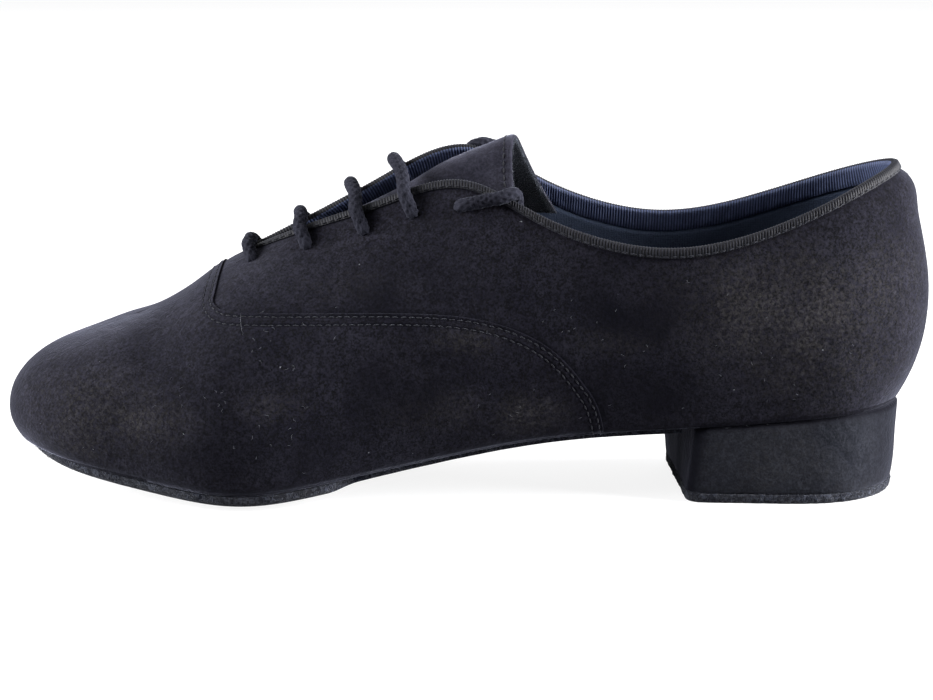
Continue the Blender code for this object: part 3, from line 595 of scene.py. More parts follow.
    def rays(self, stations: Array) -> tuple[Array, Array]:
        """The wall's rays from the feather line to the top line.

        Args:
            stations: Signed stations, positive on the outer side.

        Returns:
            Points by (station, step), and the length up each ray to them.
        """
        stations = np.atleast_1d(np.asarray(stations, float))
        at = np.abs(stations)
        foot, top = self.feather(stations), self.top_line(stations)
        out = self.outward(stations)
        up = np.array([0.0, 0.0, 1.0])
        chord = np.linalg.norm(top - foot, axis=1)[:, None]
        lean, dip = self.foot_lean(at)[:, None], self.top_dip(at)[:, None]
        small = 0.001
        x = top[:, 0]
        slope = (self.ridge_z(x + small) - self.ridge_z(x - small)) / (2 * small)
        slope = (slope * (1 - smooth_step(at, FIRST_RIM_STATION, FIRST_RIM_STATION + 2)))[:, None]
        leave = out * np.sin(lean) + up * np.cos(lean)
        arrive = out * np.cos(dip) + up * (out[:, :1] * slope * np.cos(dip) - np.sin(dip))
        near_foot = (foot + leave * chord * self.foot_reach(at)[:, None])[:, None]
        near_top = (top + arrive * chord * self.top_reach(at)[:, None])[:, None]
        t = np.linspace(0, 1, self.ray_steps + 1)[None, :, None]
        points = bow(t, foot[:, None], near_foot, near_top, top[:, None])
        steps = np.linalg.norm(np.diff(points, axis=1), axis=2)
        lengths = np.concatenate([np.zeros((len(stations), 1)), np.cumsum(steps, axis=1)], axis=1)
        return points, lengths

    def below_top(self, stations: Array, below: Array) -> Array:
        """Points of the wall, this far down from its top.

        Args:
            stations: Signed stations.
            below: Distances down the wall, for all stations or by (station, distance).

        Returns:
            Points by (station, distance).
        """
        points, lengths = self.rays(stations)
        below = np.broadcast_to(np.asarray(below, float), (len(points), np.shape(below)[-1]))
        out = np.empty(below.shape + (3,))
        for i in range(len(points)):
            out[i] = at_lengths(points[i], lengths[i], lengths[i, -1] - below[i])
        return out

    def station_at(self, x: float, side: Side) -> float:
        """The station whose feather point lies at x, behind the ball."""
        stations = np.linspace(LAST_STATION - 1e-3, FIRST_RIM_STATION, 400)
        return float(np.interp(x, self.feather_x(side.value * stations), stations))


@dataclass
class Skin:
    """The upper's outer face as a fine grid of points, with what is known at each of them."""

    last: Last
    columns_between: tuple[int, ...] = (20, 17, 16, 15, 15, 15, 15, 15, 17, 18, 17, 20)
    rows: int = 76
    margin_insets: tuple[float, ...] = (0.0140, 0.0080, 0.0040, 0.0018, 0.0007)
    corner_rows: tuple[float, ...] = (0.0007, 0.0018)
    points: Array = field(init=False)
    normals: Array = field(init=False)
    stations: Array = field(init=False)
    height: Array = field(init=False)
    depth: Array = field(init=False)

    def __post_init__(self) -> None:
        """Lays out the grid and finds its normals."""
        places = [np.arange(n) / n + i for i, n in enumerate(self.columns_between)]
        half = np.concatenate(places + [[LAST_STATION]])
        self.stations = np.concatenate([-half[::-1], half[1:-1]])
        _, lengths = self.last.rays(self.stations)
        total = lengths[:, -1:]
        even = np.linspace(0, 1, self.rows + 1)[None, 1:] * (total - 2 * MM) + 2 * MM
        corners = [np.full_like(total, rise) for rise in (0.0, *self.corner_rows)]
        up = np.concatenate([*corners, even], axis=1)
        wall = self.last.below_top(self.stations, total - up)
        margin = [self.last.feather(self.stations, inset) for inset in self.margin_insets]
        grid = np.concatenate([np.stack(margin, axis=1), wall], axis=1)
        first = len(self.margin_insets)
        corner = grid[:, first].copy()
        grid[:, first] = 0.5 * corner + 0.25 * (grid[:, first - 2] + grid[:, first + 2])
        grid[:, first - 1] = 0.85 * grid[:, first - 1] + 0.15 * grid[:, first + 1]
        grid[:, first + 1] = 0.85 * grid[:, first + 1] + 0.15 * grid[:, first - 1]
        self.points = grid
        self.height = np.concatenate([-np.ones((len(total), first)) * MM, up], axis=1)
        self.depth = np.concatenate([np.repeat(total, first, axis=1), total - up], axis=1)
        self._close()
        self.normals = self._vertex_normals()

    @property
    def first_wall_row(self) -> int:
        """The row of the feather line."""
        return len(self.margin_insets)

    @property
    def top(self) -> int:
        """The row of the top line."""
        return self.points.shape[1] - 1

    @property
    def count(self) -> int:
        """How many columns go round the shoe."""
        return len(self.stations)

    def _close(self) -> None:
        """Gives the ridge's points, which both sides share, one place each."""
        for column in range(self.count):
            self.points[column, self.top] = self.points[self.twin(column), self.top]

    def twin(self, column: int) -> int:
        """The column whose top point this one shares, on the ridge of the vamp.

        Args:
            column: A column's number.

        Returns:
            The other column's number, or its own.
        """
        station = self.stations[column]
        if -FIRST_RIM_STATION <= station < 0:
            return 2 * (self.count // 2) - column
        return column

    def index(self, column: int, row: int) -> int:
        """Vertex number of a column and row.

        Args:
            column: Its column.
            row: Its row, from the feather line.

        Returns:
            The vertex number.
        """
        column %= self.count
        if row == self.top:
            column = self.twin(column)
        return column * (self.top + 1) + row

    def faces(self, rows: range) -> list[Face]:
        """Faces between neighbouring columns and rows, facing out of the shoe.

        Args:
            rows: The lower rows of the faces.

        Returns:
            Faces as vertex numbers.
        """
        faces = []
        for column in range(self.count):
            for row in rows:
                corners = (
                    self.index(column, row),
                    self.index(column + 1, row),
                    self.index(column + 1, row + 1),
                    self.index(column, row + 1),
                )
                kept = tuple(dict.fromkeys(corners))
                if len(kept) > 2:
                    faces.append(kept)
        return faces

    def _vertex_normals(self) -> Array:
        """Outward normals at each point of the grid.

        Returns:
            Unit normals by (column, row).
        """
        flat = self.points.reshape(-1, 3)
        total = np.zeros_like(flat)
        quads = np.array([f if len(f) == 4 else f + f[-1:] for f in self.faces(range(self.top))])
        square = np.cross(flat[quads[:, 2]] - flat[quads[:, 0]], flat[quads[:, 3]] - flat[quads[:, 1]])
        for corner in range(4):
            np.add.at(total, quads[:, corner], square)
        normals = unit(total).reshape(self.points.shape)
        for column in range(self.count):
            normals[column, self.top] = normals[self.twin(column), self.top]
        return normals

    def press(self, relief: Array) -> None:
        """Moves the points along their normals by this much and finds the normals again.

        Args:
            relief: How far, by (column, row); positive is outward.
        """
        self.points = self.points + self.normals * relief[..., None]
        self._close()
        self.normals = self._vertex_normals()


@dataclass(frozen=True)
class Crease:
    """A soft trough or ridge in the upper.

    Its line runs through (signed station, share of the wall's height) points. Depth is in
    metres, below the surface, and a ridge has a negative one.
    """

    name: str
    line: tuple[tuple[float, float], ...]
    width: float
    depth: float


CREASES: tuple[Crease, ...] = (
    Crease(
        "flex across the vamp, outer",
        ((1.6, 0.98), (2.6, 0.80), (3.4, 0.58), (3.9, 0.36)),
        0.0075,
        0.00060,
    ),
    Crease(
        "flex across the vamp, inner",
        ((-1.6, 0.98), (-2.5, 0.80), (-3.3, 0.58), (-3.8, 0.36)),
        0.0070,
        0.00055,
    ),
    Crease("roll before the flex, outer", ((1.0, 0.90), (1.9, 0.74), (2.7, 0.52)), 0.0080, -0.00045),
    Crease("roll before the flex, inner", ((-1.0, 0.90), (-1.9, 0.74), (-2.6, 0.52)), 0.0080, -0.00045),
    Crease("second flex, outer", ((3.3, 0.90), (3.9, 0.72), (4.5, 0.50), (4.9, 0.34)), 0.0085, 0.00045),
    Crease(
        "second flex, inner",
        ((-3.3, 0.90), (-3.9, 0.72), (-4.4, 0.50), (-4.8, 0.34)),
        0.0080,
        0.00050,
    ),
    Crease("waist hollow, outer", ((6.1, 0.42), (6.9, 0.36), (7.7, 0.34)), 0.0120, 0.00070),
    Crease("waist hollow, inner", ((-6.1, 0.46), (-7.0, 0.36), (-7.9, 0.34)), 0.0130, 0.00090),
    Crease(
        "slant under the top eyelet, outer",
        ((7.0, 0.86), (7.5, 0.62), (8.2, 0.44)),
        0.0070,
        0.00040,
    ),
    Crease(
        "slant under the top eyelet, inner",
        ((-7.0, 0.86), (-7.6, 0.62), (-8.3, 0.42)),
        0.0070,
        0.00045,
    ),
    Crease("above the counter, outer", ((9.0, 0.66), (9.8, 0.60), (10.7, 0.62)), 0.0090, 0.00040),
    Crease("above the counter, inner", ((-9.0, 0.66), (-9.8, 0.60), (-10.7, 0.62)), 0.0090, 0.00045),
    Crease("counter's front edge, outer", ((8.9, 0.10), (9.1, 0.30), (9.4, 0.48)), 0.0050, 0.00025),
    Crease("counter's front edge, inner", ((-8.9, 0.10), (-9.1, 0.30), (-9.4, 0.48)), 0.0050, 0.00025),
)


@dataclass(frozen=True)
class Patch:
    """A patch of dust, bloom or wear, or of painted shade, on the upper, placed in shoe lengths and heights.
    """

    name: str
    x: float
    z: float
    wide: float
    high: float
    strength: float


# Patches of painted shade: the upper is darkened there as if in shade.
SHADE_PATCHES: tuple[Patch, ...] = (
    Patch("behind the seam, high", 0.330, 0.640, 0.085, 0.050, 1.00),
    Patch("behind the seam, low", 0.330, 0.400, 0.075, 0.050, 0.85),
    Patch("quarter over the seam", 0.560, 0.690, 0.090, 0.030, 0.80),
    Patch("vamp before the seam", 0.580, 0.400, 0.085, 0.045, 0.85),
    Patch("tread edge", 0.690, 0.190, 0.120, 0.035, 0.80),
    Patch("vamp middle", 0.740, 0.430, 0.060, 0.035, 0.45),
)

PATCHES: tuple[Patch, ...] = (
    Patch("toe side", 0.845, 0.300, 0.060, 0.026, 0.70),
    Patch("toe low", 0.900, 0.190, 0.045, 0.014, 0.45),
    Patch("vamp middle", 0.700, 0.360, 0.040, 0.020, 0.40),
    Patch("vamp back", 0.530, 0.330, 0.050, 0.022, 0.60),
    Patch("before the seam", 0.430, 0.310, 0.035, 0.022, 0.90),
    Patch("shoulder", 0.500, 0.560, 0.035, 0.014, 0.60),
    Patch("under the collar", 0.340, 0.560, 0.050, 0.016, 0.55),
    Patch("heel quarter", 0.165, 0.655, 0.110, 0.058, 1.00),
    Patch("heel top", 0.070, 0.760, 0.060, 0.040, 0.50),
    Patch("counter low", 0.130, 0.470, 0.090, 0.045, 0.55),
    Patch("facing", 0.620, 0.720, 0.060, 0.020, 0.25),
    Patch("toe side, wide", 0.880, 0.300, 0.080, 0.045, 0.55),
)


class SeamLine:
    """The edge of the vamp over the quarters, in side view."""

    OUTSET = 0.0017

    def __init__(self, sizes: Sizes) -> None:
        """Draws the line finely.

        Args:
            sizes: The shoe's sizes.
        """
        stations = np.arange(len(SEAM))
        along = np.linspace(0, len(SEAM) - 1, 900)
        x = natural_spline(stations, [r.x * sizes.length for r in SEAM])(along)
        z = natural_spline(stations, [r.z * sizes.instep_height for r in SEAM])(along)
        self.line = np.stack([x, z], axis=-1)
        self.way = unit(np.gradient(self.line, axis=0))

    def distance(self, points: Array) -> tuple[Array, Array]:
        """How far points lie inside the vamp, in side view.

        Args:
            points: Points in space, by any number of axes.

        Returns:
            Signed distances, positive on the vamp, and their directions of growth.
        """
        flat = points.reshape(-1, 3)[:, [0, 2]]
        away = np.empty(len(flat))
        growth = np.zeros((len(flat), 3))
        for start in range(0, len(flat), 4000):
            part = flat[start : start + 4000]
            offset = part[:, None] - self.line[None]
            nearest = (offset**2).sum(axis=2).argmin(axis=1)
            here = offset[np.arange(len(part)), nearest]
            way = self.way[nearest]
            side = way[:, 0] * here[:, 1] - way[:, 1] * here[:, 0]
            sign = np.where(side > 0, 1.0, -1.0)
            away[start : start + 4000] = sign * np.linalg.norm(here, axis=1) + self.OUTSET
            growth[start : start + 4000, 0] = -way[:, 1]
            growth[start : start + 4000, 2] = way[:, 0]
        return away.reshape(points.shape[:-1]), growth.reshape(points.shape)


def keep_where(faces: Sequence[Face], values: Array) -> tuple[list[Face], Mixes]:
    """Cuts faces along the line where a value is zero and keeps the part above it.

    Args:
        faces: Faces as vertex numbers.
        values: A value for each vertex.

    Returns:
        The kept faces, where numbers past the vertices are new ones, and for each new
        vertex the two that it lies between and its share of the way.
    """
    made: dict[tuple[int, int], int] = {}
    mixes: Mixes = []
    kept: list[Face] = []
    for face in faces:
        above = [values[v] > 0 for v in face]
        if all(above):
            kept.append(tuple(face))
            continue
        if not any(above):
            continue
        ring: list[int] = []
        for i, a in enumerate(face):
            b = face[(i + 1) % len(face)]
            if above[i]:
                ring.append(a)
            if above[i] != above[(i + 1) % len(face)]:
                key = (min(a, b), max(a, b))
                if key not in made:
                    share = values[key[0]] / (values[key[0]] - values[key[1]])
                    made[key] = len(values) + len(mixes)
                    mixes.append((key[0], key[1], float(share)))
                ring.append(made[key])
        if len(ring) > 2:
            kept.append(tuple(ring))
    return kept, mixes


def mixed(values: Array, mixes: Mixes) -> Array:
    """A vertex column with the cut vertices' own values added.

    Args:
        values: The column, by vertex.
        mixes: For each cut vertex, the two that it lies between and its share of the way.

    Returns:
        The longer column.
    """
    if not mixes:
        return values
    low, high, share = (np.array(part) for part in zip(*mixes))
    share = share.reshape((-1,) + (1,) * (values.ndim - 1))
    return np.concatenate([values, values[low] * (1 - share) + values[high] * share])


def open_edges(faces: Sequence[Face]) -> list[tuple[int, int]]:
    """Edges that only one face has, in that face's own direction."""
    edges = {edge for face in faces for edge in zip(face, face[1:] + face[:1])}
    return sorted((a, b) for a, b in edges if (b, a) not in edges)


def shell(front: Sequence[Face], count: int) -> tuple[list[Face], list[Face]]:
    """What closes a shell behind its front faces.

    Args:
        front: The front faces.
        count: How many vertices the front has; the back's follow them.

    Returns:
        The back's faces and those round the open edges.
    """
    back = [tuple(count + v for v in face[::-1]) for face in front]
    edges = [(b, a, count + a, count + b) for a, b in open_edges(front)]
    return back, edges


def chains(edges: Sequence[tuple[int, int]]) -> list[list[int]]:
    """Edges linked end to end.

    Args:
        edges: Pairs of vertex numbers, each in its own direction.

    Returns:
        Lines of vertex numbers; a closed line ends with its first.
    """
    after = dict(edges)
    starts = sorted(set(after) - {b for _, b in edges})
    lines: list[list[int]] = []
    seen: set[int] = set()
    for start in starts + sorted(after):
        if start in seen:
            continue
        line = [start]
        seen.add(start)
        while line[-1] in after and after[line[-1]] not in seen:
            line.append(after[line[-1]])
            seen.add(line[-1])
        if line[-1] in after and after[line[-1]] == start:
            line.append(start)
        lines.append(line)
    return lines


@dataclass
class Builder:
    """Makes meshes into pieces of the shoe."""

    last: Last

    def piece(
        self,
        name: str,
        points: Array,
        faces: Sequence[Face],
        materials: Sequence[bpy.types.Material],
        slot: str,
        replaces: Sequence[str] = (),
        lays: Sequence[int] | None = None,
        columns: dict[str, Array] | None = None,
        sharp: float = math.radians(40),
    ) -> bpy.types.Object:
        """Makes one piece, dresses it and fastens it to the shoe.

        Args:
            name: The piece's name.
            points: Its points, measured from the heel back.
            faces: Its faces as vertex numbers.
            materials: Its materials.
            slot: The record's slot for its finish; not used.
            replaces: The solids that it stands for.
            lays: The material number of each face.
            columns: Named values for each vertex that the materials read.
            sharp: Edges that turn more than this stay sharp.

        Returns:
            The new object.
        """
        used = np.unique(np.concatenate([np.asarray(f) for f in faces]))
        place = np.full(len(points), -1)
        place[used] = np.arange(len(used))
        mesh = bpy.data.meshes.new(name)
        moved = (np.asarray(points)[used] - self.last.origin).tolist()
        mesh.from_pydata(moved, [], [tuple(int(place[v]) for v in face) for face in faces])
        for key, values in (columns or {}).items():
            layer = mesh.attributes.new(key, "FLOAT", "POINT")
            layer.data.foreach_set("value", np.asarray(values, np.float32).reshape(-1)[used])
        for material in materials:
            mesh.materials.append(material)
        if lays is not None:
            mesh.polygons.foreach_set("material_index", np.asarray(lays, np.int32))
        mesh.shade_smooth()
        mesh.set_sharp_from_angle(angle=sharp)
        mesh.update()
        shape = bpy.data.objects.new(name, mesh)
        bpy.context.scene.collection.objects.link(shape)
        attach(shape, BODY)
        if replaces:
            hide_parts(*replaces)
        LOG.info("%s: %d faces", name, len(faces))
        return shape


class NodeBoard:
    """Places shader nodes in a tree and wires them."""

    def __init__(self, tree: bpy.types.NodeTree) -> None:
        """Takes the tree that the nodes go in."""
        self.tree = tree

    def add(self, kind: str, **settings: object) -> bpy.types.Node:
        """Adds a node and sets its own properties.

        Args:
            kind: The node's type.
            **settings: Its properties.

        Returns:
            The node.
        """
        node = self.tree.nodes.new(kind)
        for key, value in settings.items():
            setattr(node, key, value)
        return node

    def wire(self, node: bpy.types.Node, **inputs: object) -> bpy.types.Node:
        """Sets or links a node's inputs, named with _ for spaces.

        Args:
            node: The node.
            **inputs: Values or sockets.

        Returns:
            The same node.
        """
        for key, value in inputs.items():
            self.feed(node.inputs[key.replace("_", " ")], value)
        return node

    def feed(self, socket: bpy.types.NodeSocket, value: object) -> None:
        """Links a socket or sets its value.

        Args:
            socket: An input.
            value: A value or an output socket.
        """
        if isinstance(value, bpy.types.NodeSocket):
            self.tree.links.new(value, socket)
        elif isinstance(value, tuple) and len(value) == 3 and socket.type == "RGBA":
            socket.default_value = (*value, 1.0)
        else:
            socket.default_value = value

    def group(self, tree: bpy.types.NodeTree, **inputs: object) -> bpy.types.Node:
        """A group's node with its inputs set or linked."""
        return self.wire(self.add("ShaderNodeGroup", node_tree=tree), **inputs)

    def bump(self, **inputs: object) -> bpy.types.NodeSocket:
        """A bump node's normal."""
        return self.wire(self.add("ShaderNodeBump"), **inputs).outputs["Normal"]

    def math(
        self, operation: str, a: object, b: object = 0.0, clamp: bool = False
    ) -> bpy.types.NodeSocket:
        """A math node's result.

        Args:
            operation: The node's operation.
            a: Its first value.
            b: Its second value.
            clamp: Whether the result is kept within 0 and 1.

        Returns:
            The result's socket.
        """
        node = self.add("ShaderNodeMath", operation=operation, use_clamp=clamp)
        self.feed(node.inputs[0], a)
        self.feed(node.inputs[1], b)
        return node.outputs[0]

    def mix(self, share: object, a: object, b: object, blend: str = "MIX") -> bpy.types.NodeSocket:
        """A mix of two colours.

        Args:
            share: How much of the second.
            a: The first colour.
            b: The second colour.
            blend: The way of mixing.

        Returns:
            The result's socket.
        """
        node = self.add("ShaderNodeMix", data_type="RGBA", blend_type=blend)
        self.feed(node.inputs[0], share)
        self.feed(node.inputs[6], a)
        self.feed(node.inputs[7], b)
        return node.outputs[2]

    def noise(
        self, place: object, scale: object, detail: float = 2.0, rough: float = 0.5, warp: float = 0.0
    ) -> bpy.types.NodeSocket:
        """A noise texture's value.

        Args:
            place: Where it is read.
            scale: How fine it is.
            detail: Its octaves.
            rough: How strong the finer ones are.
            warp: How much it is distorted.

        Returns:
            The result's socket.
        """
        node = self.add("ShaderNodeTexNoise")
        self.wire(node, Vector=place, Scale=scale, Detail=detail, Roughness=rough, Distortion=warp)
        return node.outputs["Fac"]

    def between(
        self, value: object, low: float, high: float, to_low: float = 0.0, to_high: float = 1.0
    ) -> bpy.types.NodeSocket:
        """A value mapped smoothly from one range to another.

        Args:
            value: What is mapped.
            low: Where the range starts.
            high: Where it ends.
            to_low: What its start becomes.
            to_high: What its end becomes.

        Returns:
            The result's socket.
        """
        node = self.add("ShaderNodeMapRange", interpolation_type="SMOOTHSTEP")
        self.feed(node.inputs["Value"], value)
        node.inputs["From Min"].default_value = low
        node.inputs["From Max"].default_value = high
        node.inputs["To Min"].default_value = to_low
        node.inputs["To Max"].default_value = to_high
        return node.outputs["Result"]

    def place(self) -> bpy.types.NodeSocket:
        """The point of the shoe that is shaded, in metres."""
        return self.add("ShaderNodeTexCoord").outputs["Object"]

    def column(self, name: str) -> bpy.types.NodeSocket:
        """A named value of the mesh."""
        return self.add("ShaderNodeAttribute", attribute_name=name).outputs["Fac"]


def new_material(name: str) -> tuple[bpy.types.Material, NodeBoard, bpy.types.Node]:
    """A new material, the board of its tree and its shader.

    Args:
        name: Its name.

    Returns:
        The material, its tree's board and its shader.
    """
    material = bpy.data.materials.new(name)
    material.use_nodes = True
    shader = material.node_tree.nodes["Principled BSDF"]
    return material, NodeBoard(material.node_tree), shader


def set_finish(shader: bpy.types.Node, gloss: float, sheen: float, spread: float, tint: Colour) -> None:
    """Sets what is the same all over a finish.

    Args:
        shader: The material's shader.
        gloss: How strongly it mirrors.
        sheen: How strong the light on its nap is.
        spread: How far that light spreads.
        tint: That light's colour.
    """
    shader.inputs["Specular IOR Level"].default_value = gloss
    shader.inputs["Sheen Weight"].default_value = sheen
    shader.inputs["Sheen Roughness"].default_value = spread
    shader.inputs["Sheen Tint"].default_value = (*tint, 1.0)


class Effects:
    """Node groups that several materials share."""

    def __init__(self) -> None:
        """Builds the groups."""
        self.nap = self._nap()
        self.lint = self._lint()
        self.weave = self._weave()
        self.groove = self._groove()

    @staticmethod
    def _group(name: str, inputs: dict[str, tuple[str, float]], outputs: dict[str, str]) -> tuple:
        """A new group with named sockets, its board, and its input and output nodes.

        Args:
            name: The group's name.
            inputs: Its inputs' socket types and defaults, by name.
            outputs: Its outputs' socket types, by name.

        Returns:
            The group's tree, its board, and its input and output nodes.
        """
        tree = bpy.data.node_groups.new(name, "ShaderNodeTree")
        for label, (kind, value) in inputs.items():
            socket = tree.interface.new_socket(label, in_out="INPUT", socket_type=kind)
            if kind == "NodeSocketFloat":
                socket.default_value = value
        for label, kind in outputs.items():
            tree.interface.new_socket(label, in_out="OUTPUT", socket_type=kind)
        board = NodeBoard(tree)
        return tree, board, board.add("NodeGroupInput"), board.add("NodeGroupOutput")

    def _nap(self) -> bpy.types.NodeTree:
        """Short brushed pile: fine height, and blotches where it lies another way.

        Returns:
            The group's tree.
        """
        tree, board, start, end = self._group(
            "Brushed nap",
            {
                "Place": ("NodeSocketVector", 0),
                "Fine": ("NodeSocketFloat", 2600),
                "Broad": ("NodeSocketFloat", 55),
            },
            {"Height": "NodeSocketFloat", "Blotch": "NodeSocketFloat", "Grain": "NodeSocketFloat"},
        )
        place = start.outputs["Place"]
        fine = board.noise(place, start.outputs["Fine"], 3.0, 0.65)
        coarse = board.noise(place, board.math("MULTIPLY", start.outputs["Fine"], 0.22), 3.0, 0.6, 0.4)
        broad = board.noise(place, start.outputs["Broad"], 4.0, 0.62, 0.6)
        streak = board.noise(place, board.math("MULTIPLY", start.outputs["Broad"], 5.5), 3.0, 0.6, 1.2)
        medium = board.noise(place, board.math("MULTIPLY", start.outputs["Fine"], 0.55), 3.0, 0.75, 0.3)
        height = board.math("ADD", board.math("MULTIPLY", fine, 0.5), board.math("MULTIPLY", medium, 0.5))
        blotch = board.math("ADD", board.math("MULTIPLY", broad, 0.65), board.math("MULTIPLY", streak, 0.35))
        board.feed(end.inputs["Height"], height)
        board.feed(end.inputs["Blotch"], board.between(blotch, 0.30, 0.70))
        both = board.math("ADD", board.math("MULTIPLY", medium, 0.7), board.math("MULTIPLY", coarse, 0.3))
        board.feed(end.inputs["Grain"], board.between(both, 0.34, 0.68))
        return tree

    def _lint(self) -> bpy.types.NodeTree:
        """Scattered specks of lint and dust.

        Returns:
            The group's tree.
        """
        tree, board, start, end = self._group(
            "Lint specks",
            {
                "Place": ("NodeSocketVector", 0),
                "Scale": ("NodeSocketFloat", 260),
                "Share": ("NodeSocketFloat", 0.3),
            },
            {"Mask": "NodeSocketFloat"},
        )
        cells = board.add("ShaderNodeTexVoronoi", feature="F1")
        warped = board.add("ShaderNodeVectorMath", operation="ADD")
        wobble = board.add("ShaderNodeTexNoise")
        board.wire(wobble, Vector=start.outputs["Place"], Scale=1400.0, Detail=1.0)
        shift = board.add("ShaderNodeVectorMath", operation="SCALE")
        board.feed(shift.inputs[0], wobble.outputs["Color"])
        shift.inputs["Scale"].default_value = 0.0009
        board.feed(warped.inputs[0], start.outputs["Place"])
        board.feed(warped.inputs[1], shift.outputs[0])
        board.wire(cells, Vector=warped.outputs[0], Scale=start.outputs["Scale"], Randomness=1.0)
        chosen = board.add("ShaderNodeSeparateColor")
        board.feed(chosen.inputs[0], cells.outputs["Color"])
        size = board.math("MULTIPLY", chosen.outputs[1], 0.085)
        near = board.math("LESS_THAN", cells.outputs["Distance"], size)
        picked = board.math("LESS_THAN", chosen.outputs[0], start.outputs["Share"])
        board.feed(end.inputs["Mask"], board.math("MULTIPLY", near, picked))
        return tree

    def _groove(self) -> bpy.types.NodeTree:
        """Two grooves that rows of stitches press, at their distances from an edge.

        Returns:
            The group's tree.
        """
        tree, board, start, end = self._group(
            "Pressed stitch rows",
            {
                "Distance": ("NodeSocketFloat", 0),
                "First": ("NodeSocketFloat", 0.001),
                "Second": ("NodeSocketFloat", 0.003),
                "Width": ("NodeSocketFloat", 0.0006),
            },
            {"Hollow": "NodeSocketFloat"},
        )
        hollows = []
        for label in ("First", "Second"):
            off = board.math("SUBTRACT", start.outputs["Distance"], start.outputs[label])
            apart = board.math("DIVIDE", board.math("ABSOLUTE", off), start.outputs["Width"])
            hollows.append(board.between(apart, 1.0, 0.0))
        board.feed(end.inputs["Hollow"], board.math("MAXIMUM", *hollows))
        return tree

    def _weave(self) -> bpy.types.NodeTree:
        """A close textile: crossing threads, softened and a little uneven.

        Returns:
            The group's tree.
        """
        tree, board, start, end = self._group(
            "Close textile",
            {
                "Place": ("NodeSocketVector", 0),
                "Threads": ("NodeSocketFloat", 1300),
                "Fuzz": ("NodeSocketFloat", 0.5),
            },
            {"Height": "NodeSocketFloat", "Shade": "NodeSocketFloat"},
        )
        turned = board.add("ShaderNodeMapping")
        turned.inputs["Rotation"].default_value = (0.5, 0.7, 0.3)
        board.feed(turned.inputs["Vector"], start.outputs["Place"])
        apart = board.add("ShaderNodeSeparateXYZ")
        board.feed(apart.inputs[0], turned.outputs[0])
        pitch = board.math("MULTIPLY", start.outputs["Threads"], 2 * math.pi)
        over = board.math("SINE", board.math("MULTIPLY", apart.outputs[0], pitch))
        across = board.math("SINE", board.math("MULTIPLY", apart.outputs[2], pitch))
        cross = board.math("MULTIPLY", over, across)
        fuzz = board.noise(start.outputs["Place"], 2200.0, 3.0, 0.7)
        threads = board.math("ADD", board.math("MULTIPLY", cross, 0.25), 0.5)
        keep = board.math("SUBTRACT", 1.0, start.outputs["Fuzz"])
        height = board.math(
            "ADD",
            board.math("MULTIPLY", threads, keep),
            board.math("MULTIPLY", fuzz, start.outputs["Fuzz"]),
        )
        board.feed(end.inputs["Height"], height)
        uneven = board.noise(start.outputs["Place"], 160.0, 3.0)
        board.feed(end.inputs["Shade"], board.between(uneven, 0.3, 0.7))
        return tree


